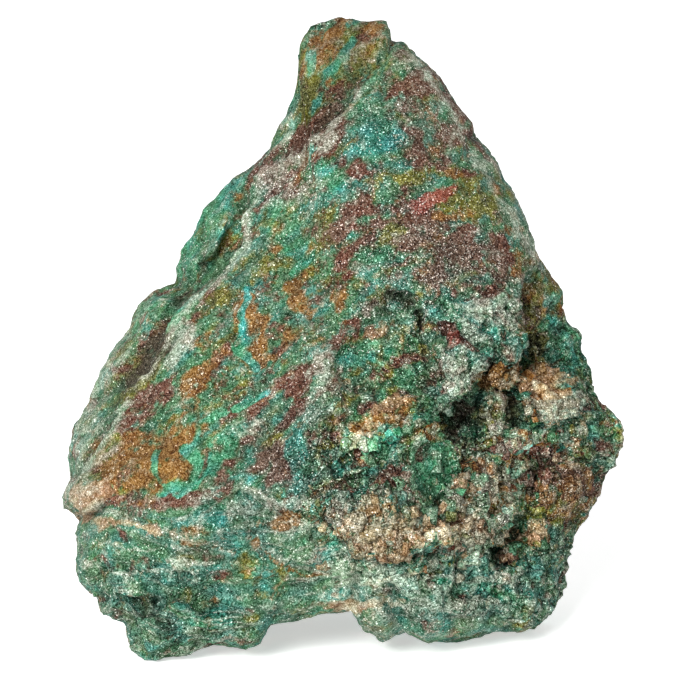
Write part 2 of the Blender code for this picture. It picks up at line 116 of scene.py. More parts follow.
# %% [markdown]
# ## The drawing sheet
# A stone has no plan, so its measures are taken on a sheet that leans back a little and
# cuts through its widest outline. "Across" runs right, "up" runs from the ground line to the
# tip, and "out" is how far the surface stands in front of the sheet, all in millimetres. The
# same sheet carries the outline, every ledge and crack, and later every patch of colour.

# %% The sheet and its outline
LEAN_DEG = 8.0            # how far the sheet leans back
TAPER_MM = 260.0          # the block would shrink to a point this far out from the sheet
AXIS_UP = 34.0            # the taper shrinks towards this height on the sheet
CORE = (0.0, 30.0)        # across and up of the middle that the outline is drawn around
GROUND_OUT = 15.0         # how far out the near foot meets the ground line
CENTRE_SHIFT = (0.675, 5.765)  # brings the middle of the stone's box to x = 0, y = 0
FLANK_POWER = 3.4         # how square the section is at the sides,
TOE_POWER = 6.0           # under the front
HEEL_POWER = 2.4          # and under the back

# The widest outline, clockwise from the tip: (across, up, out).
RIM = [
    (-0.9, 70.6, 0), (1.8, 70.1, 0), (4.1, 70.2, 0), (4.3, 68.3, 0), (6.0, 67.9, 0), (7.4, 66.6, 0),
    (9.9, 64.0, 0), (11.4, 61.3, 0), (13.2, 59.2, 0), (13.6, 57.5, 0), (14.9, 56.3, 0),
    (16.2, 54.8, 0), (17.0, 52.9, 0), (18.5, 50.5, 0), (19.5, 48.2, 0), (20.2, 45.2, 0),
    (22.0, 42.9, -1), (23.5, 40.6, -2), (23.3, 38.9, -2), (24.0, 36.9, -2), (25.3, 35.8, -2),
    (25.4, 34.1, -2), (26.3, 32.0, -1), (26.7, 29.6, 0), (27.6, 28.2, 1), (29.4, 26.6, 2),
    (30.0, 24.4, 2), (29.6, 22.3, 2), (28.2, 20.6, 1), (27.6, 18.3, 0), (26.2, 15.6, 0),
    (24.5, 13.1, 0), (23.7, 9.8, 1), (23.3, 7.3, 2), (22.2, 5.1, 3), (20.3, 3.4, 5), (16.5, 3.0, 6),
    (11.6, 2.1, 7), (8.6, 1.8, 8), (6.1, 3.3, 9), (3.6, 2.3, 9), (1.2, 3.8, 10), (0.3, 5.4, 12),
    (-3.4, 5.2, 12), (-8.8, 3.9, 13), (-10.3, 1.8, 13), (-11.5, 1.2, 13), (-15.2, 1.7, 14),
    (-17.6, 0.8, 15), (-22.6, -0.1, 15), (-24.1, 1.6, 14), (-24.7, 4.3, 12), (-27.2, 5.2, 10),
    (-27.7, 6.9, 8), (-29.4, 8.4, 6), (-30.1, 10.0, 5), (-29.8, 15.6, 4), (-31.3, 16.6, 3),
    (-31.6, 18.0, 3), (-30.9, 20.0, 2), (-30.8, 23.1, 1), (-30.1, 25.9, 0), (-28.6, 28.3, 0),
    (-27.7, 31.0, 0), (-26.2, 33.7, 0), (-24.3, 36.3, 0), (-23.1, 38.9, 0), (-21.7, 40.4, 0),
    (-19.2, 41.5, 0), (-19.2, 43.1, 0), (-18.6, 45.2, 0), (-16.9, 47.4, 0), (-16.1, 49.5, 0),
    (-14.5, 51.0, 0), (-12.6, 53.0, 0), (-10.1, 54.8, 0), (-8.9, 56.2, 0), (-7.5, 58.8, 0),
    (-6.2, 61.4, 0), (-5.6, 63.4, 0), (-5.7, 66.2, 0), (-5.4, 68.2, 0), (-4.4, 69.5, 0),
    (-3.2, 70.0, 0),
]


def rim_at(angle):
    """Distance from the core to the outline, and the outline's own out, at each angle. A ray
    at the angle meets the edge between two outline points where their cross products agree."""
    rim = np.array(RIM, float)
    spokes = rim[:, :2] - CORE
    turn = np.unwrap(np.arctan2(spokes[:, 1], spokes[:, 0]))
    start = turn[-1]
    order = np.argsort((turn - start) % math.tau)
    spokes, outs = spokes[order], rim[order, 2]
    turns = (turn[order] - start) % math.tau
    spokes = np.vstack([spokes, spokes[:1]])
    outs = np.append(outs, outs[0])
    turns = np.append(turns, math.tau)
    asked = (angle - start) % math.tau
    first = np.clip(np.searchsorted(turns, asked, side="right") - 1, 0, len(turns) - 2)
    corner, edge = spokes[first], spokes[first + 1] - spokes[first]
    ray = np.column_stack([np.cos(angle), np.sin(angle)])
    reach = ((corner[:, 0] * edge[:, 1] - corner[:, 1] * edge[:, 0])
             / (ray[:, 0] * edge[:, 1] - ray[:, 1] * edge[:, 0]))
    share = (asked - turns[first]) / (turns[first + 1] - turns[first])
    return reach, outs[first] * (1 - share) + outs[first + 1] * share


def stand(across, up, out):
    """From the leaning sheet, in millimetres, to the room, in metres: shrink by the taper,
    turn by the lean, and set the ground line at zero height."""
    lean = math.radians(LEAN_DEG)
    taper = 1 - out / TAPER_MM
    height = (up - AXIS_UP) * taper
    foot_taper = 1 - GROUND_OUT / TAPER_MM
    ground = -AXIS_UP * foot_taper * math.cos(lean) + GROUND_OUT * math.sin(lean)
    x = across * taper + CENTRE_SHIFT[0]
    y = -out * math.cos(lean) + height * math.sin(lean) + CENTRE_SHIFT[1]
    z = height * math.cos(lean) + out * math.sin(lean) - ground
    return np.column_stack([x, y, z]) * MM


print("the outline has", len(RIM), "points")

# %% [markdown]
# ## Faces, ledges, lumps and cracks
# The stone's big shapes are a few sloping planes: the surface is the lowest of them at each
# place, with their edges rounded a little. On them go the features someone would point at:
# the drop at the left edge of the main face, the broken ledges on the right, the knob at the
# tip, the tooth with the pocket under it, blocks, swells and cracks.

# %% Large flat faces
# Each is (out at the sheet's zero, rise across, rise up).
FRONT_FACES = [
    (32.4, 0.20, -0.39),     # the main face, turned a little to the left
    (34.3, -0.25, -0.36),    # its right half, turned a little to the right
    (19.9, 0.08, 0.30),      # the layered band along the bottom
    (21.6, -0.60, 0.55),     # the lower right corner
    (32.2, -1.05, 0.10),     # the right flank
]
BACK_FACES = [
    (20.0, -0.05, -0.22),
    (25.0, -0.75, -0.10),
    (23.5, 0.62, -0.08),
    (12.5, 0.06, 0.42),
    (25.5, 0.34, -0.36),
]
FACE_BLEND = 1.1             # how far from an edge two faces start to round into each other
print(len(FRONT_FACES), "large faces in front and", len(BACK_FACES), "behind")

# %% [markdown]
# The main face ends on the left in one long edge that hangs over a drop. On the right and below
# it breaks off in ledges: along each the surface drops, and climbs back over some millimetres.
# Cracks are narrow dips along a line. All of them are lines of corners, so one function that
# measures the distance to such a line can serve them all.

# %% The left edge, the ledges and the cracks
# The left edge of the main face, from the tip down to the bottom left corner. Left of it
# the surface drops and falls away.
SLAB_EDGE = [
    (5.9, 68.6), (3.8, 65.0), (0.9, 62.3), (-0.6, 60.3), (-1.6, 58.8), (-4.4, 56.4),
    (-7.5, 54.8), (-9.7, 53.0),
    (-11.1, 49.7), (-11.8, 45.1), (-14.9, 41.5), (-17.8, 39.4), (-20.6, 35.6),
    (-22.2, 32.8), (-24.9, 29.0), (-26.8, 25.1), (-29.6, 20.9), (-33.0, 17.0),
]
SLAB_DROP = 2.2
SLAB_FALL = 0.55
SLAB_LIP = 0.8               # how far that edge hangs over the drop
LIP_REACH = 2.2

# Broken ledges: the line of the step, its drop, and how far the low side takes to recover.
# The low side is on the left, going along the line.
LEDGES = [
    # right end of the main face, over the dark recess
    ([(20.4, 43.4), (19, 41.6), (18, 39.6), (18.4, 37.6), (18.9, 35.6), (18.5, 33.3)],
     4.6, 10),
    # lower right corner of the main face, and the tooth that hangs from it
    ([(19.4, 34.6), (18.2, 33.3), (16.5, 33.6), (15.2, 33.4), (14.6, 31.5), (13.9, 29.4),
      (12, 28.5), (10.2, 27.3)], 3.4, 6),
    # the scoop to the left of the tooth
    ([(10, 27.4), (9.3, 30.2), (8.8, 33.9), (7.8, 36.6), (7.4, 38.5), (6.6, 39.7),
      (5.4, 40.2)], 1.5, 3.6),
    # under the crumbly ledge
    ([(17, 11.6), (15.4, 12.8), (13.2, 12.6), (12.1, 14.2), (10.6, 12.8), (8.3, 11.8),
      (6.4, 13.2), (4.9, 11.4), (2.6, 11.6), (1.4, 13.4), (-0.4, 14.6), (-2, 16)],
     2.6, 5),
    # where the main face breaks into the layered band
    ([(-2, 16), (-5.5, 16.3), (-8.8, 17.4), (-12.1, 18.3), (-15.4, 17.8), (-18.7, 16.4),
      (-22, 15.8), (-24.8, 16.7), (-28, 17.3), (-31, 17)], 0.8, 4.5),
    # layers of the band
    ([(6, 9), (-1, 10.2), (-6, 11.2), (-9.6, 13.2), (-13, 13.4), (-17, 12.2),
      (-24, 13.4), (-30, 14.6)], 0.6, 2.4),
    ([(20, 7.4), (12, 7.8), (4, 7.6), (-4, 8.2), (-10, 8.8), (-16, 8.2),
      (-22, 9.6), (-27, 11.6)], 0.5, 2.6),
    # streaks across the scoop
    ([(11, 28.6), (8.8, 26.8), (4.4, 24.2), (0, 22.4)], 1.1, 2.6),
    ([(8, 23.4), (5.8, 22.6), (2.8, 21.1), (-0.6, 20)], 0.8, 3),
    # left side of the lower right block, down to the ledge
    ([(20.6, 21.8), (19.7, 18.8), (19.9, 17), (18.6, 14.6), (17.6, 12.4)], 1.6, 4),
]
LEDGE_FADE = 1.4             # how far past the ends of its line a ledge still shows
EDGE_HALF_WIDTH = 0.30       # half the width over which a ledge drops

# Cracks: the line, its depth and its half width.
CRACKS = [
    ([(20.3, 21.2), (19.6, 18.7), (19.8, 17), (18.7, 14.8), (17.8, 13)], 2, 0.7),
    ([(17, 30), (17.9, 28), (18.3, 26)], 2.2, 0.7),
    ([(4.6, 40.5), (6.6, 39.6), (7.4, 38.2), (7.5, 36.6)], 1.2, 0.35),
    ([(-9, 54.6), (-10.4, 53.2), (-12.2, 49.4), (-12.8, 45.2),
      (-14, 43.6), (-16.4, 42.8), (-20, 42.2)], 1.1, 1),
    ([(-18.4, 40), (-20.6, 37), (-22.2, 34.6), (-24.4, 32.2), (-26.4, 29.6)], 1.6, 0.9),
]
print(len(LEDGES), "ledges and", len(CRACKS), "cracks")

# %% [markdown]
# Lumps have flat tops and steep sides, as broken stone has. Swells are the soft hills and dips
# that are left where it wore.

# %% Lumps and swells
# Lumps: (across, up, half width, half height, turn in degrees, rise, sag down). A lump
# with a negative rise is a hollow.
LUMPS = [
    # the tip: a square knob over a narrow neck
    (-0.9, 67.8, 5.2, 3.4, 12, 3.6, 0),
    (-3.2, 59.6, 2.2, 4.4, -22, -0.9, 0),
    # two lobes behind the left edge of the main face
    (-16.9, 47, 2.9, 5.2, -38, 3.4, 0),
    (-23.8, 35.8, 2.3, 6.2, -32, 3, 0),
    # corner lump at the far left
    (-29.6, 18.4, 2.2, 1.9, 10, 3, 0.6),
    # the bulge that makes the widest place on the right, and the sag of the tooth and ledge
    (27, 24.8, 3.4, 2.8, -10, 1.6, 0),
    (12, 30, 3, 3, -12, 0, 0.6),
    (6, 14.4, 5.5, 2.4, 0, 0, 0.4),
    # near foot on the left, with a pit over it
    (-20.4, 3.2, 4.4, 3, 6, 1.8, 0),
    (-22.6, 6, 1.8, 0.9, 10, -0.8, 0),
    (-20.2, 3.8, 0.9, 1.7, 4, -0.8, 0),
    # small foot and broad foot on the right
    (2.4, 4.4, 2, 2.2, 8, 1.6, 0),
    (15, 4.6, 7.4, 2.6, 4, 1.2, 0),
]
LUMP_EDGE = 0.26             # share of a lump's size that its side takes
LUMP_SQUARENESS = 3.0

# Soft swells and dips: (across, up, half width, half height, turn in degrees, rise).
SWELLS = [
    # along the left edge of the main face
    (-16.6, 36, 3, 7, -38, 1.3),
    (-23.5, 22, 4.6, 3.4, 20, 1),
    (-8, 49, 2.4, 6, -36, 0.9),
    # across the main face, rising to the right
    (2, 52, 6, 2.6, 48, 0.8),
    (-5, 32, 7.4, 2.4, 40, 0.9),
    (-10, 24.6, 6.4, 2.2, 34, -0.9),
    (12.6, 47, 5, 2, 24, 0.7),
    (9, 52.6, 4.6, 1.8, 30, -0.6),
    # the crest beside the scoop, and the scoop itself
    (-2.6, 28, 2, 7, -8, 0.7),
    (4.4, 31, 4, 7, -22, -2),
    # the broken ground below the tooth lies deeper than the main face
    (17, 19, 9, 8, 0, -2.2),
    # a worn knob in the broken ground
    (19.8, 23.4, 1.8, 1.5, 0, 1.4),
    # the smooth blue bump at the top of the band
    (-14.2, 15.6, 2.6, 2.2, 0, 1.3),
    # dips of the band
    (-24, 10.6, 5, 1.8, 10, -0.7),
    (-2, 8.6, 5, 1.6, -12, -0.9),
    (10, 8.6, 7, 1.8, 4, -0.7),
]

BACK_LUMPS = [
    (-9, 30, 7.5, 9, 24, 2.4, 0),
    (10.5, 24, 6, 8, -30, 2.6, 0),
    (3, 43, 5, 7.5, 18, 1.6, 0),
    (-3, 15, 8, 3.6, -8, 2, 0.6),
    (14, 40, 3.6, 5, 10, -2, 0),
    (-17, 18, 4, 5.5, -20, -2.2, 0),
]
print(len(LUMPS), "lumps and", len(SWELLS), "swells in front,", len(BACK_LUMPS), "lumps behind")

# %% [markdown]
# On the broken right side single blocks can be told apart. Each is drawn by its corners, and
# stands out or lies deeper by its own amount, with a top that may slope.

# %% Broken blocks
# Broken blocks and walls: the corners, the rise in the middle, and how much more the block
# rises per millimetre across and up.
BLOCKS = [
    # the wing of the main face over the tooth
    ([(10.7, 39.4), (13.2, 39.9), (16.5, 40), (17.9, 39.3), (18.5, 36.3), (18.9, 33.4),
      (17.1, 33.3), (15.2, 32.9), (14.1, 34.1), (12.9, 35.6), (11.9, 37.4)], 0.7, 0, -0.1),
    # the tooth
    ([(9.6, 34.1), (10.9, 35.1), (12.8, 34.6), (15.2, 33.1), (14.2, 29.6), (12.1, 28.6),
      (10.2, 27.4), (9.9, 30.2)], 1.3, -0.12, -0.1),
    # the groove between the two
    ([(9.7, 37.2), (11.7, 37.1), (12.8, 35.4), (14.1, 34), (15, 32.9), (13, 34.4),
      (10.6, 35)], -0.9, 0, 0),
    # the square orange block beside the tooth
    ([(15.1, 31.7), (16.2, 32.3), (18.5, 32.2), (18.8, 31), (17.9, 29.7), (16.1, 29.8)],
     1.7, 0, -0.25),
    # the block under it
    ([(14.4, 29.4), (17.8, 29.4), (18.3, 26.9), (17.4, 25.1), (15.6, 24.9), (14.3, 26.4)],
     1.1, 0.1, -0.15),
    # the big block: its top
    ([(18.7, 31.1), (20.1, 32.5), (21.7, 33), (23.1, 31.9), (24.4, 31.2), (25.4, 29.5),
      (23.1, 28.8), (20.9, 29.1), (19.1, 29.5)], 2.6, -0.15, -0.45),
    # and its front
    ([(19.1, 29.5), (20.9, 29.1), (23.1, 28.8), (25.4, 29.5), (26, 27.7), (24.4, 26.6),
      (22.6, 26), (20.6, 26.4), (19.4, 27.5)], 3.1, -0.1, 0.15),
    # the block at the lower right
    ([(21, 20.9), (23.1, 21.8), (26.4, 21.3), (27.6, 19.8), (27.1, 17.1), (24.8, 15.4),
      (22.2, 15.6), (20.9, 17.6)], 1.7, -0.25, 0.08),
    # the flat blue-green wall
    ([(6.9, 23.4), (8.8, 24.2), (11.2, 23.4), (12.2, 21.8), (11.2, 17.6), (9.9, 17.1), (7.9, 18.7),
      (6.8, 20.9)], -1.3, 0, 0),
    # the column beside it
    ([(11.9, 24.2), (16.5, 25.1), (19.6, 24.2), (19.8, 19.8), (18.9, 15.4), (16.5, 14.3),
      (13.2, 14.8), (11.3, 17.1), (11.7, 20.9)], 0.9, 0.05, 0),
    # the pocket under the tooth
    ([(10, 27.2), (13.2, 28.7), (14.7, 29.5), (14.5, 26.4), (14.1, 24.2), (12.3, 23.5),
      (11.2, 24.2), (10.4, 25.9)], -1.8, 0, 0),
    # its left wall
    ([(8.2, 27.6), (9.9, 27.3), (10.6, 25.5), (11.2, 24.1), (9, 24.1), (7.5, 25.4)],
     -1, -0.3, 0),
    # the nub inside it
    ([(12.1, 26.4), (13.6, 26.5), (14.1, 25.3), (13.2, 24.4), (12.1, 24.9)], 1.9, 0, 0),
    # the crumbly ledge
    ([(-0.6, 17.1), (1.6, 17.8), (3.9, 17.1), (4.6, 14.3), (3.9, 11.4), (2.4, 11.8), (0.2, 13.2),
      (-1.1, 14.8)], 1.5, 0, -0.06),
    ([(4.6, 15.9), (6.6, 17.1), (8.2, 16.3), (8.6, 12.7), (6.6, 13.2), (5.5, 11.4), (4.4, 11.4)],
     1.1, 0, -0.05),
    ([(8.6, 15.4), (10.4, 16.3), (12.3, 15.6), (11.9, 13.8), (10.6, 13.2), (8.8, 12.5)],
     1.3, 0, -0.05),
    ([(11.7, 19.6), (13.8, 20.8), (15.6, 19.6), (15.6, 17.1), (13.8, 15.9), (11.9, 17.1)],
     0.7, 0, 0.1),
    ([(12.3, 15.3), (14.1, 16.3), (15.7, 15.4), (15.2, 12.7), (13.2, 13.2)], 0.9, 0, 0),
    ([(5.5, 20), (7.5, 19.1), (8.6, 17.1), (7.2, 16.5), (5.3, 17.6)], 0.7, 0, 0),
    # the dark slot right of the ledge
    ([(15.7, 14.7), (18.7, 15.2), (17.8, 12.3), (16.5, 9.9), (15.2, 11.2)], -1, 0, 0),
    # the recess past the wing
    ([(18.8, 40.9), (20.4, 42.2), (23.1, 39.6), (24.4, 36.3), (22.7, 34.5), (19.8, 34.1),
      (18.7, 35.4)], -1, 0.2, 0),
]
BLOCK_EDGE = 0.16            # half the width of a block's side
print(len(BLOCKS), "blocks, walls and pockets")

# %% [markdown]
# Each feature is a simple function of a place on the sheet: a distance to a line of corners,
# a rounded rectangle, a bell. Their sum is the height of the front and of the back.

# %% Distances and masks


def to_line(across, up, line):
    """Distance from each point to a line of corners, which side it is on, and how far past
    the ends it is. The side is +1 on the left, going along the line, and -1 on the right. At
    a corner two stretches are equally near; the one that the point is more beside decides."""
    best = np.full(across.shape, 1e9)
    side = np.zeros(across.shape)
    past = np.zeros(across.shape)
    last = len(line) - 2
    for number, ((x0, y0), (x1, y1)) in enumerate(zip(line, line[1:])):
        run_x, run_y = x1 - x0, y1 - y0
        length = math.hypot(run_x, run_y)
        off_x, off_y = across - x0, up - y0
        along = (off_x * run_x + off_y * run_y) / length
        before = -along if number == 0 else 0 * along
        after = along - length if number == last else 0 * along
        along = np.clip(along, 0, length) / length
        gap = np.hypot(off_x - along * run_x, off_y - along * run_y)
        beside = (run_x * off_y - run_y * off_x) / length
        tied = (np.abs(gap - best) < 1e-9) & (np.abs(beside) > np.abs(side))
        nearer = (gap < best - 1e-9) | tied
        best = np.where(nearer, gap, best)
        side = np.where(nearer, beside, side)
        past = np.where(nearer, np.clip(np.maximum(before, after), 0, None), past)
    return best, np.where(side < 0, -1.0, 1.0), past


def smooth_step(low, high, value):
    """0 below low, 1 above high, and an S-shaped rise between."""
    share = np.clip((value - low) / (high - low), 0, 1)
    return share * share * (3 - 2 * share)


def inside_share(across, up, corners):
    """1 well inside a closed outline, 0 well outside, and a steep side between. A point is
    inside when a ray to its right crosses the outline an odd number of times."""
    closed = corners + corners[:1]
    gap, _, _ = to_line(across, up, closed)
    inside = np.zeros(across.shape, bool)
    for (x0, y0), (x1, y1) in zip(closed, closed[1:]):
        if y0 != y1:
            crossing = x0 + (up - y0) * (x1 - x0) / (y1 - y0)
            inside ^= ((y0 > up) != (y1 > up)) & (across < crossing)
    return smooth_step(-BLOCK_EDGE, BLOCK_EDGE, np.where(inside, gap, -gap))


def turned_offsets(across, up, x, y, half_width, half_height, turn):
    """How far each point is from (x, y) along two axes turned by some degrees, in half widths
    and half heights."""
    angle = math.radians(turn)
    off_x, off_y = across - x, up - y
    along = (off_x * math.cos(angle) + off_y * math.sin(angle)) / half_width
    beside = (off_y * math.cos(angle) - off_x * math.sin(angle)) / half_height
    return along, beside


def lump_mask(across, up, *place):
    """1 on top of a lump and 0 outside it, for a rounded rectangle turned by some degrees:
    (|a|^n + |b|^n)^(1/n) is 1 on its rim."""
    along, beside = turned_offsets(across, up, *place)
    reach = (np.abs(along) ** LUMP_SQUARENESS
             + np.abs(beside) ** LUMP_SQUARENESS) ** (1 / LUMP_SQUARENESS)
    return 1 - smooth_step(1 - LUMP_EDGE, 1 + LUMP_EDGE, reach)


def swell(across, up, *place):
    """A round hill, 1 at its top, that dies away like a bell: exp(-a^2 - b^2)."""
    along, beside = turned_offsets(across, up, *place)
    return np.exp(-along ** 2 - beside ** 2)


print("a bell one half width from its middle:", round(float(swell(1.0, 0.0, 0, 0, 1, 1, 0)), 2))

# %% [markdown]
# The front is the lowest of its faces, less the drops and cracks, plus the swells, blocks and
# lumps. The back has its own faces and lumps, and large chips.

# %% Heights of the front and the back
BACK_CHIPS = [(15.0, 3.6), (7.0, 1.4)]


def lowest_face(faces, across, up):
    """The lowest of several sloping planes, base + a * across + b * up, with their edges
    rounded: low - blend * ln(sum of exp((low - height) / blend))."""
    heights = np.stack([base + a * across + b * up for base, a, b in faces])
    low = heights.min(axis=0)
    return low - FACE_BLEND * np.log(np.exp(-(heights - low) / FACE_BLEND).sum(axis=0))


def front_out(across, up):
    """How far the front stands out from the sheet, and how far each point sags. Ledges take
    off drop * exp(-(gap / reach)^2), cracks depth * exp(-(gap / half width)^2); swells,
    blocks and lumps add their rise times their mask."""
    out = lowest_face(FRONT_FACES, across, up)
    gap, side, _ = to_line(across, up, SLAB_EDGE)
    beyond = np.where(side < 0, gap, 0.0)
    out -= SLAB_DROP * smooth_step(0, 2 * EDGE_HALF_WIDTH, beyond) + SLAB_FALL * beyond
    for line, drop, reach in LEDGES:
        gap, side, past = to_line(across, up, line)
        low_side = smooth_step(-EDGE_HALF_WIDTH, EDGE_HALF_WIDTH, gap * side)
        out -= drop * low_side * np.exp(-(gap / reach) ** 2 - (past / LEDGE_FADE) ** 2)
    for line, depth, half_width in CRACKS:
        gap, _, _ = to_line(across, up, line)
        out -= depth * np.exp(-(gap / half_width) ** 2)
    for *place, rise in SWELLS:
        out += rise * swell(across, up, *place)
    for corners, rise, rise_across, rise_up in BLOCKS:
        middle_across, middle_up = np.mean(corners, axis=0)
        top = rise + rise_across * (across - middle_across) + rise_up * (up - middle_up)
        out += top * inside_share(across, up, corners)
    sag = np.zeros(across.shape)
    for *place, rise, fall in LUMPS:
        mask = lump_mask(across, up, *place)
        out += rise * mask
        sag += fall * mask
    return out, sag


def slab_lip(across, up):
    """How far the left edge of the main face leans out over the groove beside it:
    lip * exp(-(gap / reach)^2), on the face's own side only."""
    gap, side, _ = to_line(across, up, SLAB_EDGE)
    return SLAB_LIP * np.where(side > 0, np.exp(-(gap / LIP_REACH) ** 2), 0.0)


def back_out(across, up):
    """How far the back stands behind the sheet: lowest face + lumps + depth * chip noise."""
    out = lowest_face(BACK_FACES, across, up)
    for *place, rise, _ in BACK_LUMPS:
        out += rise * lump_mask(across, up, *place)
    sheet = np.column_stack([across, up, np.zeros(len(up))])
    for salt, (size, depth) in enumerate(BACK_CHIPS):
        out += depth * chip_noise(sheet / size, 41 + salt)
    return out


print("the front stands out", round(float(front_out(np.zeros(1), np.full(1, 30.0))[0][0]), 1),
      "mm in the middle, the back", round(float(back_out(np.zeros(1), np.full(1, 30.0))[0]), 1))

# %% [markdown]
# ## The skin as six grids
# A sphere made of six square grids has no poles, so its squares stay even all round. Each
# grid is a function of two parameters, a and b. Its directions are then carried out to the
# stone's surface: sideways to the outline, and forwards or backwards to the height that the
# sheet gives. The front and back grids have the most steps, because the detail is there.

# %% Directions through the six faces of a cube
FACE_STEPS = 184          # steps of a grid from left to right and from bottom to top
DEPTH_STEPS = 42          # steps of a grid from front to back
CROWDING = 0.20           # how much closer the steps get towards the broken right side


def grid_lines(steps, crowding=0.0):
    """Places of a grid's lines, from -1 to 1: tan(45 deg * t), so that equal steps of t are
    equal turns seen from the middle. t = s + crowding * (1 - s^2) packs them to the right."""
    s = np.linspace(-1, 1, steps + 1)
    return np.tan((s + crowding * (1 - s ** 2)) * math.pi / 4)


def cube_grid(face):
    """Points on one face of a cube of half side 1, as a grid of two parameters, a and b."""
    side = grid_lines(FACE_STEPS, CROWDING)
    rise, depth = grid_lines(FACE_STEPS), grid_lines(DEPTH_STEPS)
    a, b = {"front": (side, rise), "back": (-side[::-1], rise), "right": (depth, rise),
            "left": (depth, rise), "top": (side, depth), "bottom": (side, depth)}[face]
    a, b = np.meshgrid(a, b, indexing="ij")
    one = np.ones_like(a)
    return np.stack({
        "front": (a, -one, b), "back": (-a, one, b), "right": (one, a, b),
        "left": (-one, -a, b), "top": (a, b, one), "bottom": (a, -b, -one),
    }[face], axis=-1)


def closed_ball():
    """Unit directions and four-cornered faces of the six grids, joined along their seams."""
    corners, faces, start = [], [], 0
    for face in ("front", "back", "right", "left", "top", "bottom"):
        grid = cube_grid(face)
        number = start + np.arange(grid.shape[0] * grid.shape[1]).reshape(grid.shape[:2])
        quads = [number[:-1, :-1], number[1:, :-1], number[1:, 1:], number[:-1, 1:]]
        faces.append(np.stack(quads, axis=-1).reshape(-1, 4))
        corners.append(grid.reshape(-1, 3))
        start += number.size
    points = np.vstack(corners)
    _, kept, joined = np.unique(np.round(points, 9), axis=0, return_index=True,
                                return_inverse=True)
    points = points[kept]
    points /= np.linalg.norm(points, axis=1, keepdims=True)
    return points, joined.ravel()[np.vstack(faces)]


ball, quads = closed_ball()
print("the skin has", len(ball), "points and", len(quads), "four-cornered faces")

# %% [markdown]
# A plain ball pushed out to an outline would be too round: broken stones have flat faces and
# tight corners. So the section through the block follows a power curve, |x|^p + |y|^p = 1.
# With p = 2 that is a circle, and as p grows it turns into a rounded box.

# %% Carry the directions out to the stone
UNDER = (0.35, 0.95)      # how steeply down, as a sine, the toe's and heel's powers begin and rule
LIP_SINK = 0.5            # how far the lip moves down, as a share of how far it moves out
# How the lines above wander, so that no edge is drawn straight: (size of a bend, its reach)
EDGE_BENDS = (4.5, 0.7)


def form(directions):
    """Places on the sheet for unit directions. bulge is 0 at the outline and 1 in the middle
    of the front or the back; the surface's height there is bulge times its full height."""
    side, depth, rise = directions.T
    angle = np.arctan2(rise, side)
    reach, rim_out = rim_at(angle)
    flat = np.hypot(side, rise)
    under = smooth_step(*UNDER, -np.sin(angle))
    under_power = np.where(depth < 0, TOE_POWER, HEEL_POWER)
    power = FLANK_POWER + (under_power - FLANK_POWER) * under
    norm = (flat ** power + np.abs(depth) ** power) ** (1 / power)
    spread, bulge = flat / norm, np.abs(depth) / norm
    across = CORE[0] + spread * reach * np.cos(angle)
    up = CORE[1] + spread * reach * np.sin(angle)
    sheet = np.column_stack([across, up, np.zeros(len(up))])
    size, bend = EDGE_BENDS
    warp_across = across + bend * bulge * smooth_noise(sheet / size, 1)
    warp_up = up + bend * bulge * smooth_noise(sheet / size, 2)
    front = depth < 0
    out, sag = front_out(warp_across, warp_up)
    out = np.where(front, out, -back_out(warp_across, warp_up))
    lip = slab_lip(warp_across, warp_up)
    across = across - np.where(front, lip * bulge, 0)
    up = up - np.where(front, (sag - LIP_SINK * lip) * bulge, 0)
    return across, up, rim_out * (1 - bulge) + out * bulge, front, bulge


across, up, out, front, bulge = form(ball)
points = stand(across, up, out) / MM
print("before it is broken, the form spans", np.ptp(points, axis=0).round(1), "mm")

# %% [markdown]
# ## Breaking the surface
# The form is right now but smooth. Real breakage works at every size, so the surface is
# pushed in and out along its own normal in three passes, coarse to fine, and the normals are
# worked out again before each pass, so that small chips sit square on the big ones. Where a
# push folds the skin over itself, the folded corners settle between their neighbours. The right
# side is crumbly and gets deep chips. The main face is worn and gets shallow streaks that run
# with its layers, and the band under it gets thin wavy layers.

# %% Normals, neighbours and folds
SETTLE_ROUNDS = 8


def diagonal_cross(points, quads):
    """The cross product of each face's diagonals, which points outwards and is twice as long
    as the face's area."""
    corner = points[quads]
    return np.cross(corner[:, 2] - corner[:, 0], corner[:, 3] - corner[:, 1])


def point_normals(points, quads):
    """The sum of the faces' cross products round each point, brought to a length of 1."""
    outward = diagonal_cross(points, quads)
    total = np.zeros_like(points)
    for axis in range(3):
        for place in range(4):
            total[:, axis] += np.bincount(quads[:, place], outward[:, axis], len(points))
    return total / np.maximum(np.linalg.norm(total, axis=1, keepdims=True), 1e-12)


def neighbour_middle(values, quads):
    """The mean of the three columns of values over each point's neighbours."""
    a = np.concatenate([quads[:, place] for place in range(4)])
    b = np.concatenate([quads[:, (place + 1) % 4] for place in range(4)])
    count = np.bincount(a, minlength=len(values)) + np.bincount(b, minlength=len(values))
    total = [np.bincount(a, values[b, axis], len(values))
             + np.bincount(b, values[a, axis], len(values)) for axis in range(3)]
    return np.column_stack(total) / count[:, None]


def settle(points, quads):
    """Where neighbours have been pushed past each other, faces look inwards. Their corners
    move to the middle of their neighbours until the skin lies in order again."""
    for _ in range(SETTLE_ROUNDS):
        outward = neighbour_middle(point_normals(points, quads), quads)
        folded = (diagonal_cross(points, quads) * outward[quads].mean(axis=1)).sum(axis=1) < 0
        crossed = np.zeros(len(points), bool)
        crossed[quads[folded]] = True
        points = np.where(crossed[:, None], neighbour_middle(points, quads), points)
    return points, int(folded.sum())


print("a push of 1 mm moves the tip by",
      point_normals(points, quads)[points[:, 2].argmax()].round(2), "mm")

# %% [markdown]
# How broken the stone is differs from place to place, and so do its layers. On the main face
# they climb to the right and level off. In the band at the bottom they lie flat and wave.

# %% How broken each place is, and how its layers run
ROUGH_BASE, ROUGH_BACK = 0.30, 0.50
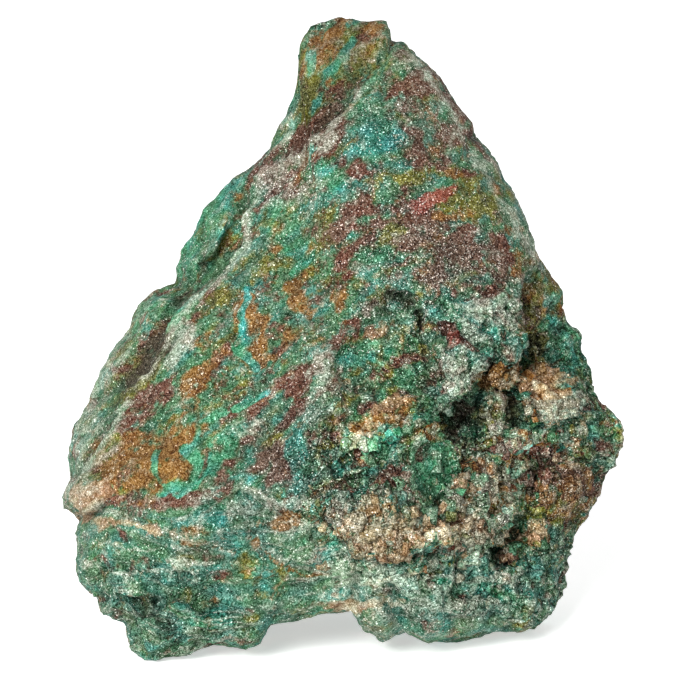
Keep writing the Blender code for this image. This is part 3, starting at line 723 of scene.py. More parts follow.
# Zones that are more or less broken: (across, up, half width, half height, turn, share)
ROUGH_ZONES = [
    (14, 22, 18, 16, -20, 0.75), (-24, 4, 14, 7, 0, 0.35), (20, 37, 7, 8, 0, 0.3),
    (4.6, 31, 4.6, 7.6, -18, -0.35), (21.8, 29.4, 4.4, 3.8, 0, -0.35),
    (16.8, 30.6, 2.2, 1.8, 0, -0.3), (13.6, 34.2, 4.6, 6.4, -20, -0.25),
    (9.5, 20.8, 2.8, 3.8, 0, -0.5), (24.4, 18.6, 3.4, 3.4, 0, -0.3),
]

# The upper edge of the band, and how its layers and those of the main face run
BAND_TOP = [(-34.0, 17.0), (-28.0, 17.2), (-22.0, 15.8), (-15.4, 17.8), (-12.0, 18.3),
            (-8.8, 17.2), (-4.0, 15.4), (1.4, 12.4), (6.4, 11.0), (17.0, 10.6), (26.0, 13.0)]
BAND_SOFT = 1.2           # half the height over which the band takes over
LAYER_CLIMB = 0.80        # how steeply the layers climb to the right on the left side,
LAYER_LEVEL = -14.0       # from where on they begin to level off,
LAYER_BEND = 20.0         # and over what distance
# The waves of the band's layers: height, length over a full turn's radians, start
BAND_WAVES = [(1.3, 5.2, 0.6), (0.5, 2.3, 0.0)]


def roughness_of(across, up, front):
    """How broken the surface is, from 0, smooth, to 1: a base plus each zone's share."""
    rough = np.full(across.shape, ROUGH_BASE)
    for *place, share in ROUGH_ZONES:
        rough += share * lump_mask(across, up, *place)
    return np.where(front, np.clip(rough, 0, 1), ROUGH_BACK)


def band_share(across, up, front):
    """1 on the layered band along the bottom of the front, 0 above it."""
    edge = np.interp(across, *np.array(BAND_TOP).T)
    return front * smooth_step(BAND_SOFT, -BAND_SOFT, up - edge)


def layer_places(across, up, out, band):
    """Where a point lies among the stone's layers: along them, through them, and in from the
    front. On the main face they climb to the right and level off; in the band they lie flat
    and wave."""
    climb = LAYER_CLIMB * LAYER_BEND * np.tanh((across - LAYER_LEVEL) / LAYER_BEND)
    wave = sum(height * np.sin(across / length + start) for height, length, start in BAND_WAVES)
    through = up - climb * (1 - band) - wave * band
    return np.column_stack([across, through, out])


rough = roughness_of(across, up, front)
band = band_share(across, up, front)
layers = layer_places(across, up, out, band)
print("crumbly share of the skin:", round(float((rough > 0.6).mean()), 2))

# %% [markdown]
# The chips come first and the crumbs last, each pass along the normals of the pass before.
# Close to the outline the large chips fade, because its shape is already drawn.

# %% Three passes, coarse to fine
# Uneven breakage, as (size, depth) in millimetres
CHIPS = [(7.0, 1.0), (3.6, 0.85), (1.7, 0.55)]
WAVES = [(12.0, 0.7), (5.0, 0.35), (2.4, 0.12)]
OUTLINE_SHARE = 0.25         # share of the larger chips that is left at the outline
# How the chips' edges wander, so that none is straight: (size of a bend, its reach)
CHIP_BENDS = (3.1, 1.1)
CRUMBS = [(1.25, 0.30), (0.8, 0.16)]       # small chips, only where it is broken
STREAKS = [((7.0, 1.1, 5.0), 0.16), ((3.0, 0.6, 3.0), 0.08)]    # worn layers: size, depth
BAND_LAYERS = [((9.0, 1.5, 4.0), 0.42), ((5.0, 0.7, 3.0), 0.20)]
GRAIN = [(0.9, 0.04), (0.55, 0.04)]        # the sugary feel of the whole surface
EDGE_RIDGES = {"reach": (2.6, 9.0), "lean": 0.35, "size": (9.0, 1.1, 3.0), "depth": 0.38}
COARSE_SHARP, FINE_SHARP = 26.0, 30.0      # how sudden the steps between chips are
WORN_SHARE = 0.6                           # how much of its streaks a fully broken place loses
CRUMB_POWER = 1.5                          # small chips keep to the most broken places


def coarse_push(points, rough, inner):
    """The sum of depth * roughness * chip noise and of depth * smooth noise, over the sizes.
    Both fade where the outline is, which is already drawn."""
    size, bend = CHIP_BENDS
    bends = np.column_stack([smooth_noise(points / size, salt) for salt in (4, 5, 6)])
    bent = points + bend * bends
    fade = OUTLINE_SHARE + (1 - OUTLINE_SHARE) * inner
    push = np.zeros(len(points))
    for salt, (size, depth) in enumerate(CHIPS):
        push += depth * rough * fade * chip_noise(bent / size, 11 + salt, COARSE_SHARP)
    for salt, (size, depth) in enumerate(WAVES):
        push += depth * fade * smooth_noise(points / size, 21 + salt)
    return push


def layer_push(layers, rough, band):
    """The sum of depth * smooth noise on places that are stretched along the layers: streaks
    on the worn face, deeper wavy layers in the band."""
    push = np.zeros(len(layers))
    for salt, (size, depth) in enumerate(STREAKS):
        worn = (1 - band) * (1 - WORN_SHARE * rough)
        push += depth * worn * smooth_noise(layers / size, 51 + salt)
    for salt, (size, depth) in enumerate(BAND_LAYERS):
        push += depth * band * smooth_noise(layers / size, 61 + salt)
    return push


def edge_push(across, up, out, front):
    """Fine ridges that run along the left edge of the main face and on the lobes behind it:
    depth * exp(-(gap / reach)^2) * smooth noise that is stretched along the edge."""
    gap, side, _ = to_line(across, up, SLAB_EDGE)
    reach, size = EDGE_RIDGES["reach"], EDGE_RIDGES["size"]
    near = front * np.exp(-(gap / np.where(side > 0, reach[0], reach[1])) ** 2)
    along = np.column_stack([up, gap * side + EDGE_RIDGES["lean"] * out, out]) / size
    return near * EDGE_RIDGES["depth"] * smooth_noise(along, 67)


def fine_push(points, rough):
    """The sum of depth * roughness^power * chip noise, small chips where the stone is broken,
    and of depth * smooth noise, a fine grain everywhere."""
    push = np.zeros(len(points))
    for salt, (size, depth) in enumerate(CRUMBS):
        push += depth * rough ** CRUMB_POWER * chip_noise(points / size, 71 + salt, FINE_SHARP)
    for salt, (size, depth) in enumerate(GRAIN):
        push += depth * smooth_noise(points / size, 81 + salt)
    return push


broken = coarse_push(points, rough, bulge)
points += point_normals(points, quads) * broken[:, None]
layered = layer_push(layers, rough, band) + edge_push(across, up, out, front)
points += point_normals(points, quads) * layered[:, None]
points, _ = settle(points, quads)
crumbled = fine_push(points, rough)
points += point_normals(points, quads) * crumbled[:, None]
points, folded = settle(points, quads)
print("faces that still look inwards:", folded)
points[:, 2] = np.maximum(points[:, 2], 0)
print("deepest chip", round(float(broken.min()), 2), "mm, finest relief",
      round(float(crumbled.std()), 3), "mm")

# %% [markdown]
# ## What lies deep and what stands out
# The finish paints shade into hollows and paints edges paler, with dust and a painted
# highlight, so it needs to know which is which. Every point is moved to the middle of its
# neighbours many times over, which gives a smoothed stone. Where the smoothed stone lies
# outside the real one, that place is a hollow.

# %% Find the hollows
HOLLOWS = [(5, 0.16), (40, 0.55)]          # rounds of smoothing, and the depth that counts full


def hollowness(points, quads):
    """Above 0 in hollows, below 0 on edges: depths under two smoothed stones, added up."""
    normals = point_normals(points, quads)
    smooth, depth, done = points.copy(), np.zeros(len(points)), 0
    for rounds, full in HOLLOWS:
        for _ in range(rounds - done):
            smooth = neighbour_middle(smooth, quads)
        done = rounds
        depth += ((smooth - points) * normals).sum(axis=1) / full
    return depth


hollow = np.clip(hollowness(points, quads), -1, 1)
print("hollow share of the skin:", round(float((hollow > 0.3).mean()), 2))

# %% [markdown]
# ## Where each mineral lies
# Colour in this stone comes in patches: rust where iron seeped in, wine-brown and moss where
# it was less oxidised, bright blue-green where copper is rich, and a pale dust on the edges,
# which there is partly a painted highlight.
# Each mineral gets one number at every point. A patch is a bell, 0.5 ** r^2, where r is 1 at
# the rim of a turned ellipse, so it is 1 in the middle and a half at the rim. Patches that
# meet are joined as 1 - (1 - a)(1 - b), and a patch with a negative strength keeps its mineral
# away. Two noises are added to each field, so that its edge is ragged, and the finish later
# cuts the field at a half.

# %% Patches where iron has rusted
# Each is (across, up, half width, half height, turn in degrees, strength).
PATCHES = {}
PATCHES["rust"] = [
    (-2.9, 67.4, 2.4, 1.9, 10, 0.85), (2.6, 69, 1.6, 1.2, 0, 0.8), (-12.1, 38.3, 0.9, 2.1, -12, 1),
    (-10.1, 36.1, 0.9, 3.1, 14, 1), (-17.1, 30.8, 1.3, 1.8, 20, 0.9),
    (-18.4, 25.5, 2.6, 2.4, 0, 0.62), (-23, 23.4, 2.2, 1.6, 10, 0.9), (-10.8, 34, 1.2, 1.3, 0, 1.1),
    (-24.6, 20.4, 2.4, 1.8, -10, 0.7), (-19.2, 21.1, 1.7, 1.4, 0, 1.3),
    (-21.6, 21.4, 1.8, 1.6, 0, 0.6), (20, 32.2, 1.4, 0.9, 0, -0.5), (-7.5, 46.4, 2.4, 2.4, 0, 0.6),
    (11.8, 53.5, 1.1, 0.4, 5, 0.9), (10.6, 48.7, 1.3, 0.4, 4, 0.9), (16.5, 31, 1.9, 1.2, 0, 1.1),
    (21.4, 30.8, 2.9, 1.5, 20, 0.85), (9, 25.1, 1.3, 1.1, 0, 0.8), (5, 27.5, 2.2, 1, 35, 0.8),
    (1.4, 25.6, 1.6, 0.7, 10, 0.4), (19.8, 27, 1.6, 1.2, 0, 0.6), (13.2, 18.1, 2, 2.2, 0, 0.7),
    (24.4, 18.7, 3.1, 2.6, 0, 0.6), (-7.2, 15.4, 2.6, 1, -5, 0.75), (21.4, 39.6, 2, 2.6, 0, 0.7),
    (-1.5, 39.6, 0.9, 1.1, -30, 0.8), (-6.4, 40.5, 1, 1.3, 0, 0.75), (-5, 38.3, 1.1, 0.9, 0, 0.7),
    (-7.2, 35.8, 0.9, 1, 0, 0.7), (16.5, 19.6, 1.5, 1.8, 0, 0.6), (0.6, 6.2, 3.3, 0.9, 0, 0.6),
    (-16, 14.2, 4, 0.6, -8, 0.5),
]
PATCHES["wine"] = [
    (-3, 60, 1.2, 3.2, -24, 0.65), (0.2, 49, 2, 1.4, 0, 0.95), (1.1, 53.7, 2.4, 0.8, 0, 0.8),
    (9.9, 45.6, 5.1, 2.9, 0, 0.78), (16.7, 43.8, 1.1, 3.1, -10, 0.95),
    (-7, 52.8, 2.9, 2.2, 0, 0.95), (11.6, 35.2, 1.2, 1.1, 0, 0.95), (14.8, 39, 2.2, 0.9, -20, 0.6),
    (-11.6, 27.9, 1.9, 0.8, 20, 0.85), (-13.9, 20.5, 1, 2, 0, 0.8),
    (-6.6, 21.8, 2.9, 3.7, 20, 0.62), (5, 20.4, 3.7, 1.3, 20, 0.6), (2.4, 33.9, 1.5, 2.4, 20, 0.5),
    (21.4, 20.9, 3.1, 1.8, 0, 0.6), (16.5, 23.1, 2.6, 1.5, 0, 0.6), (8.2, 63, 2.6, 2.2, 0, 0.75),
    (10.8, 58.4, 2.6, 3.2, 0, 0.8), (7.4, 54.8, 1.6, 1.6, 0, 0.7), (-2.6, 57.2, 1.2, 2.2, -30, 0.9),
    (4.8, 61, 0.9, 1.6, -20, 0.7), (6.4, 57.6, 0.9, 1.4, 0, 0.6), (-1.8, 46.8, 2.4, 1.6, 0, 0.8),
    (2.4, 47.9, 4, 0.5, 2, 0.9), (6.1, 52.8, 3.2, 0.9, 0, -0.8), (13.4, 50.4, 2.8, 1.9, 0, -0.8),
    (5, 46.8, 1.6, 1.5, 0, -0.7), (-6.6, 47, 2.6, 3.6, -20, -0.5), (-18, 26, 4, 4, 0, -0.3),
    (-2.4, 53.4, 1.8, 0.9, 20, -0.7), (-13, 23.2, 1.4, 1.4, 0, -0.6), (-8.8, 18.8, 1.6, 1, 0, -0.6),
    (-2.6, 47.4, 1.8, 1.3, 0, -0.7), (-8.4, 51.4, 1.4, 1.2, 0, 0.6), (6.8, 49.4, 1.6, 1.3, 0, 0.7),
    (13.2, 56.2, 1.8, 1.6, 0, -0.5), (2.2, 34.1, 1.6, 1.6, 0, -0.6), (19.8, 25.3, 1.6, 1.3, 0, 0.5),
    (-11, 51.7, 1.4, 1.6, 0, -0.6), (-4, 62, 1, 2.4, -20, -0.4), (-5, 56.1, 1.3, 1.5, -40, 0.8),
    (-5.5, 30.2, 2.2, 1.8, 0, 0.55), (-18.7, 17.6, 6.6, 0.7, 4, 0.7),
    (-24.2, 26.6, 1.3, 2, -30, 0.7), (-20.8, 29, 1.4, 2, -30, 0.6), (-1.1, 44.5, 2, 1.1, 0, 0.5),
    (14, 56, 1.6, 3.4, 30, 0.5), (-21, 35, 1.2, 3, -30, 0.6),
]
print({name: len(PATCHES[name]) for name in ("rust", "wine")})

# %% [markdown]
# Moss is iron that is less oxidised. Copper is the ore's own bright blue-green, and rose is a
# single kind of pink lens.

# %% Patches of moss, copper and rose
PATCHES["moss"] = [
    (-0.8, 67.4, 4.6, 3.2, 8, 0.45), (2, 66.2, 1.4, 1, 0, 0.8), (6.1, 52.8, 2.9, 0.7, 0, 1),
    (13.2, 50.6, 2.4, 1.8, 0, 1), (5, 46.8, 1.3, 1.3, 0, 0.9), (20.4, 36.3, 2.2, 3.3, 0, 0.9),
    (24.2, 18.7, 3.3, 2.8, 0, 0.6), (0, 24.5, 2, 1, 20, 0.6), (-4.4, 42.9, 1.3, 0.8, 0, 0.7),
    (8.3, 25.3, 1.8, 1.4, 0, 0.6), (22.5, 41.5, 1.8, 2.2, 0, 0.7), (-20.4, 20, 2.4, 1, 20, 0.6),
    (-8.6, 43.6, 1.6, 1.8, 0, 0.55), (-4.6, 61.4, 0.7, 3.6, -20, 1),
    (-1.6, 61.6, 0.5, 2.6, -26, 0.8), (-21.6, 34.6, 1.2, 2.8, -34, 0.9),
    (-17.2, 40.4, 2.2, 0.6, 20, 0.7), (-23.6, 31, 1.6, 3, -36, 0.7),
    (-13.4, 40.4, 1.4, 1.4, 0, 0.7), (-26.4, 22, 1.4, 2.2, -20, 0.6),
    (-14.6, 48.6, 0.9, 1.4, 0, 0.8), (5.6, 29.4, 2.6, 3, 20, 0.35), (14.6, 22.4, 2.4, 1.6, 0, 0.4),
]
PATCHES["copper"] = [
    (2.6, 56.9, 1.7, 1.8, 0, 1), (2.4, 34.2, 1.6, 1.2, 0, 0.7), (4.2, 57.4, 2.4, 3.3, 0, 0.55),
    (6.1, 52.8, 3.2, 0.9, 0, -0.7), (13.4, 50.4, 2.8, 1.9, 0, -0.7),
    (-3.6, 61.6, 0.35, 2.6, -22, 0.8), (-5.9, 59, 0.6, 2.4, -24, 0.6),
    (1.1, 60.8, 1, 2.2, -30, 0.6), (-6.6, 46.2, 1.1, 1.5, -30, 1), (-7.7, 49.3, 0.9, 0.9, 0, 0.95),
    (-1.1, 52, 1.2, 0.6, 0, 0.9), (3.3, 44.3, 2.4, 1.5, 0, 0.7), (1.7, 48.8, 1.2, 0.5, 0, 0.7),
    (-13, 24, 1.1, 0.9, 0, 0.9), (-15, 21.5, 0.6, 1.8, -8, 1), (-5.6, 22, 1.3, 2.6, 10, 0.7),
    (12.9, 25.4, 0.9, 0.8, 0, 1), (9, 21.2, 2, 2.6, 0, 1), (0.2, 33.9, 1.8, 1.1, 0, 0.8),
    (4.4, 23.9, 4.4, 0.8, 36, 0.8), (6, 30.8, 1.3, 1.1, 0, 0.6), (-14.3, 15.6, 2.5, 2.2, 0, 0.8),
    (-16, 4.2, 3.5, 1, 5, 0.9), (23.4, 35.2, 2, 4.6, 12, 0.8), (13, 36.6, 1.8, 1.4, -20, 0.7),
    (-16.5, 48.4, 1.8, 3.8, -38, 0.8), (-20.9, 38, 1.6, 2.6, -30, 0.6),
    (-18, 25.8, 2, 1.2, 40, 0.6), (-1, 12.6, 3.4, 0.8, -30, 0.7), (9.5, 7.6, 6, 1.4, 0, 0.55),
    (5.4, 64, 0.8, 1, 0, 0.8), (10.4, 60.2, 1, 0.8, 0, 0.8), (-4, 55.8, 0.8, 0.5, 20, 0.9),
    (2.6, 58.9, 1.4, 0.9, 0, 0.9), (-2.6, 53.6, 1.8, 0.9, 20, 0.8),
    (-17.8, 43.4, 1.2, 1.8, -20, 0.8), (-13, 22.8, 1.3, 1.2, 0, 0.7), (-8.8, 18.8, 1.5, 1, 0, 0.6),
    (-11.4, 51.4, 1, 1.2, 0, 0.5),
]
PATCHES["rose"] = [
    (8.6, 50.3, 2.4, 0.8, 24, 1.2), (11.6, 35.3, 1, 0.9, 0, 0.9), (-8.6, 53.6, 1.6, 1.2, 0, 0.5),
    (17.6, 24.6, 1.2, 1, 0, 0.5),
]
print({name: len(PATCHES[name]) for name in ("moss", "copper", "rose")})

# %% [markdown]
# Three more fields aren't minerals, but they are laid in the same way: bone-coloured crust on
# the crumbly ledge, pale dust on what stands out, which on edges is partly a painted highlight,
# and painted shade in deep places.

# %% Patches of crust, dust and painted shade
PATCHES["bone"] = [
    (2.8, 13.6, 2.6, 1.8, -20, 0.9), (6.8, 14.6, 2.2, 1.5, 0, 0.8), (10.6, 14, 2, 1.6, 0, 0.85),
    (14.3, 15.2, 1.8, 1.4, 0, 0.7), (17.2, 13.2, 1.2, 1.4, 0, 0.6), (-29.4, 17.6, 1.4, 1.5, 0, 0.9),
    (0.4, 6, 3.2, 0.7, 0, 1), (3.9, 28.2, 1.8, 0.8, 30, 0.8), (12, 19.8, 1.6, 1.2, 0, 0.5),
    (22.6, 28.4, 2.6, 1.8, 0, 0.6), (-26.4, 15.2, 3.2, 0.6, -6, 0.8), (3.9, 36.8, 1.4, 1.4, 0, 0.5),
    (20.4, 13.8, 1.4, 1.2, 0, 0.6), (-26.6, 18.8, 1.7, 1.1, 0, 0.8),
    (-22.4, 14.6, 1.7, 0.6, -10, 0.6),
]
PATCHES["dust_and_highlight"] = [
    (1.2, 24.6, 2.4, 1.6, 20, 0.4), (-3.3, 32.2, 1.4, 2.8, 0, 0.5), (-5.5, 27, 2, 1.2, 20, 0.42),
    (-7.2, 51.3, 2.6, 2, 0, 0.42), (-1, 17.6, 2.2, 1.4, 0, 0.55), (15, 38.6, 3, 1.2, -30, 0.7),
    (11, 31.4, 1.6, 1.8, 0, 0.7), (-26, 35, 1, 4, -36, 0.5), (10, 27.4, 1, 1, 0, 0.3),
    (23.4, 27.6, 2.4, 1.6, 0, 0.55), (-28.4, 25, 1.6, 5, -12, 0.55), (12, 7.4, 8, 1.4, 4, 0.3),
    (1.4, 8.8, 3.2, 2, 0, 0.8), (-11, 16.6, 2, 0.9, -20, 0.7), (-18.8, 34.6, 1, 2.4, -34, 0.8),
    (-11.2, 25.3, 1.8, 1.4, 0, 0.4), (13.2, 11.8, 2, 1.8, 0, 0.6), (-3.3, 56.2, 1.8, 0.8, 30, 0.55),
    (-6.6, 57.6, 0.8, 1.8, -24, 0.6), (-4.4, 14.3, 2.2, 1.2, 0, 0.5), (-6, 22, 3, 3.4, 0, -0.5),
    (10, 42.8, 3.4, 2, 0, -0.5), (15.6, 34.2, 1.8, 1.6, 0, -0.7), (8.8, 32.6, 1, 3.2, 0, -0.6),
    (4, 14.8, 4, 2, 0, 0.4), (13.6, 15.4, 2.4, 2, 0, 0.35), (6.1, 52.8, 3.2, 0.9, 0, -0.6),
    (13.4, 50.4, 2.8, 1.9, 0, -0.6), (17.4, 54, 1.2, 4, 24, 0.4),
]
# These are painted shade: dark patches in the grooves beside the lobes, the pits over the near foot,
# the recess past the wing and the neck.
PATCHES["painted_shade"] = [
    (-21.2, 34.4, 1.2, 2.4, -34, 1), (-18, 39.8, 2.2, 0.7, 25, 0.8), (-24, 31, 0.8, 2.2, -36, 0.7),
    (-22.4, 6, 1.8, 0.7, 10, 0.5), (-20.2, 3.9, 0.5, 1.4, 4, 0.5), (22, 34, 2.6, 1, 0, 0.6),
    (-2.6, 59.4, 1.2, 3, -24, 0.4),
]
print({name: len(PATCHES[name]) for name in ("bone", "dust_and_highlight", "painted_shade")})

# %% [markdown]
# A seam is thin and long, so it follows a line of corners. Other minerals keep to one block and
# end with it, because the block broke out of another layer.

# %% Seams, and minerals that keep to a block
# Seams and rims: mineral, half width, strength, and the line of corners they follow.
SEAMS = [
    ("copper", 0.38, 1.2, [(-11, 40.7), (-11.6, 38.4), (-12, 35.6), (-13, 34.6),
                           (-11.6, 33.6), (-10.4, 32.4)]),
    ("copper", 0.30, 1.1, [(-12.8, 27.6), (-10.9, 28.6), (-8.8, 29.7)]),
    ("copper", 0.30, 1, [(-6.4, 42.6), (-5.2, 43.9), (-4.2, 44.9)]),
    ("copper", 0.34, 1.2, [(-21.2, 22.8), (-21.6, 20.6), (-20.4, 18.9), (-17.6, 19),
                           (-16.6, 21.6), (-18.2, 23.4)]),
    ("copper", 0.22, 0.75, [(-22.4, 18.2), (-20.2, 18), (-17.2, 18.4), (-15.8, 20.4), (-15.2, 23.4)]),
    ("copper", 0.30, 0.8, [(-16.6, 21.6), (-17.4, 23.6), (-16.2, 26), (-14, 27.2)]),
    ("copper", 0.30, 0.9, [(-4.6, 66.6), (-3.4, 65)]),
    ("copper", 0.30, 0.9, [(-1.9, 65), (-0.6, 66.4), (0.3, 68)]),
    # The dust along the left edge of the main face, the upper right rims and the top of the band is
    # partly a painted highlight on those edges.
    ("dust_and_highlight", 0.36, 0.50, SLAB_EDGE[2:]),
    ("dust_and_highlight", 0.34, 0.6, [(13.2, 56.1), (15.4, 52.8), (18, 48.4), (21.4, 42.4)]),
    ("dust_and_highlight", 0.30, 0.55, [(6.2, 66.8), (8.2, 64.6), (9.9, 62), (11.4, 59.2), (12.8, 57)]),
    ("dust_and_highlight", 0.35, 0.9, [(-11.6, 18.7), (-7.7, 17), (-2.2, 17.6)]),
    ("dust_and_highlight", 0.35, 0.7, [(-27.5, 17), (-24.2, 15.6), (-20.9, 14.1), (-15, 18)]),
    ("dust_and_highlight", 0.30, 0.7, [(-10.4, 12.6), (-6.6, 10.4), (-3.3, 9.7), (3, 9)]),
    ("dust_and_highlight", 0.16, 0.8, [(-28, 13.2), (-24.2, 11.8), (-20, 12.6), (-16.6, 11.4), (-12.6, 12.4)]),
    ("dust_and_highlight", 0.16, 0.8, [(-29, 10.8), (-24.8, 9.4), (-20.6, 10.2), (-16.8, 9.2)]),
    ("dust_and_highlight", 0.14, 0.8, [(-16.8, 13.6), (-16.2, 16.2), (-14.2, 17.4), (-12, 16.8), (-10.8, 14.8)]),
    ("dust_and_highlight", 0.18, 0.8, [(0.4, 10.4), (4.2, 9.2), (8.8, 9.6), (14.2, 8.8), (19.4, 9.6)]),
    ("dust_and_highlight", 0.16, 0.7, [(4, 6.4), (9.2, 5.6), (14.8, 6.6), (20.6, 6)]),
    ("rust", 0.30, 0.7, [(-10.6, 12.8), (-8.4, 10.8), (-5, 9.2), (-2, 9.6)]),
    # The next lines are painted shade: thin dark lines along the crease over the scoop, the cracks
    # and a streak across the scoop.
    ("painted_shade", 0.18, 0.9, [(4.2, 40.4), (6.4, 39.6), (7.3, 38.2), (7.6, 36.8)]),
    ("painted_shade", 0.22, 0.9, [(20.2, 20.9), (19.6, 18.7), (19.8, 17), (18.7, 14.8), (17.9, 13.2)]),
    ("painted_shade", 0.25, 0.9, [(17, 30), (17.9, 28), (18.3, 26)]),
    ("painted_shade", 0.18, 0.6, [(-0.6, 20), (2.8, 21.1), (5.8, 22.6), (7.4, 23.6)]),
]

# Minerals that keep to a block: mineral, the block's number in the list, strength.
# Of these, the dark ones in the pocket (10), the slot (19) and the recess (20) are painted shade, and
# the dust on the wing and the tooth is partly a painted highlight.
BLOCK_COLOURS = [
    ("dust_and_highlight", 0, 0.42), ("copper", 0, 0.36), ("dust_and_highlight", 1, 0.55), ("copper", 1, 0.36),
    ("rose", 1, 0.34), ("rose", 0, 0.28), ("wine", 1, 0.25), ("wine", 2, 0.7), ("rust", 3, 0.7),
    ("bone", 3, 0.3), ("moss", 4, 0.5), ("dust_and_highlight", 4, 0.3), ("rust", 5, 0.4), ("bone", 5, 0.45),
    ("dust_and_highlight", 6, 0.6), ("rust", 6, 0.35), ("copper", 6, 0.3), ("moss", 7, 0.6), ("wine", 7, 0.25),
    ("copper", 8, 0.3), ("wine", 9, 0.24), ("rust", 9, 0.28), ("dust_and_highlight", 9, 0.22), ("moss", 9, 0.25),
    ("copper", 9, 0.28), ("painted_shade", 10, 0.35), ("copper", 10, 0.35), ("moss", 11, 0.8),
    ("copper", 12, 0.75), ("bone", 13, 0.42), ("rust", 13, 0.3), ("bone", 14, 0.42),
    ("moss", 14, 0.35), ("bone", 15, 0.42), ("wine", 15, 0.28), ("rust", 15, 0.3),
    ("wine", 16, 0.5), ("bone", 17, 0.4), ("moss", 17, 0.3), ("wine", 18, 0.4), ("painted_shade", 19, 0.35),
    ("moss", 20, 0.75), ("painted_shade", 20, 0.3),
]
print(len(SEAMS), "seams,", len(BLOCK_COLOURS), "block colours")

# %% [markdown]
# The rest is left to noise, as it is in the ground: a share of each mineral that is common
# everywhere, a slow drift of that share, and ragged edges for the patches.

# %% What is common everywhere, and how ragged the edges are
# A row for each field: its share anywhere in front, its share on the back, how much of the
# first the band lacks, and how much it takes of the wide and of the fine noise.
COMMON = {
    "rust": (0.14, 0.26, 0.6, 1.0, 1.0),
    "wine": (0.31, 0.36, 0.5, 1.0, 1.0),
    "moss": (0.27, 0.26, 0.4, 1.0, 1.0),
    "copper": (0.12, 0.30, 0.0, 1.0, 1.0),
    "rose": (0.0, 0.0, 0.0, 0.5, 0.6),
    "bone": (0.0, 0.10, 0.0, 1.0, 1.0),
    "dust_and_highlight": (0.08, 0.20, 0.0, 0.5, 1.2),
    "painted_shade": (0.0, 0.0, 0.0, 0.0, 0.4),
}
DRIFT, DRIFT_SIZE = 0.55, 11.0           # how the shares drift; sizes are in millimetres
VEIN_STRETCH = (0.6, 1.0, 0.8)           # the wide noise is drawn out along the layers
WIDE_VEIN, WIDE_REACH = 2.0, 0.50
FINE_VEIN, FINE_REACH = 0.85, 0.26
BROKEN_MOTTLE = 0.8                      # how much more the fine one adds where it is broken
print("common in front, as shares:", {name: row[0] for name, row in COMMON.items()})

# %% [markdown]
# The ground isn't the same green everywhere either. Some zones are bluer or greyer, and in
# others shade or light is painted into the colour. These are soft hills and dips, added up.

# %% Bluer and greyer zones, and zones of painted light and shade
# Zones where the ground is bluer, and where it is a warmer green
COOL = [
    (-20, 26, 9, 12, -30, -0.5), (-22, 38, 5, 12, -35, -0.3), (5, 30, 6, 7, 0, -0.5),
    (-19.4, 19.6, 3.6, 2.4, 0, -0.6), (2.6, 56.2, 2, 1.6, 0, 0.6), (15, 20, 7, 7, 0, -0.5),
    (4, 57, 6, 8, 0, 0.1), (-7, 22, 5, 5, 0, 0.4), (14, 8, 10, 4, 0, 0.5), (-14, 15, 4, 3, 0, 0.6),
    (-2, 48, 8, 7, 0, -0.3), (-1, 67, 5, 4, 0, -0.6), (9.4, 21, 2.6, 3.6, 0, -0.5),
    (-16, 9, 9, 4, 0, 0.3), (12.4, 25.6, 2.6, 3, 0, -0.3), (-11.2, 37, 1.2, 4.4, 0, 0.9),
    (-10.8, 28.6, 2.8, 1, 22, 0.9),
]
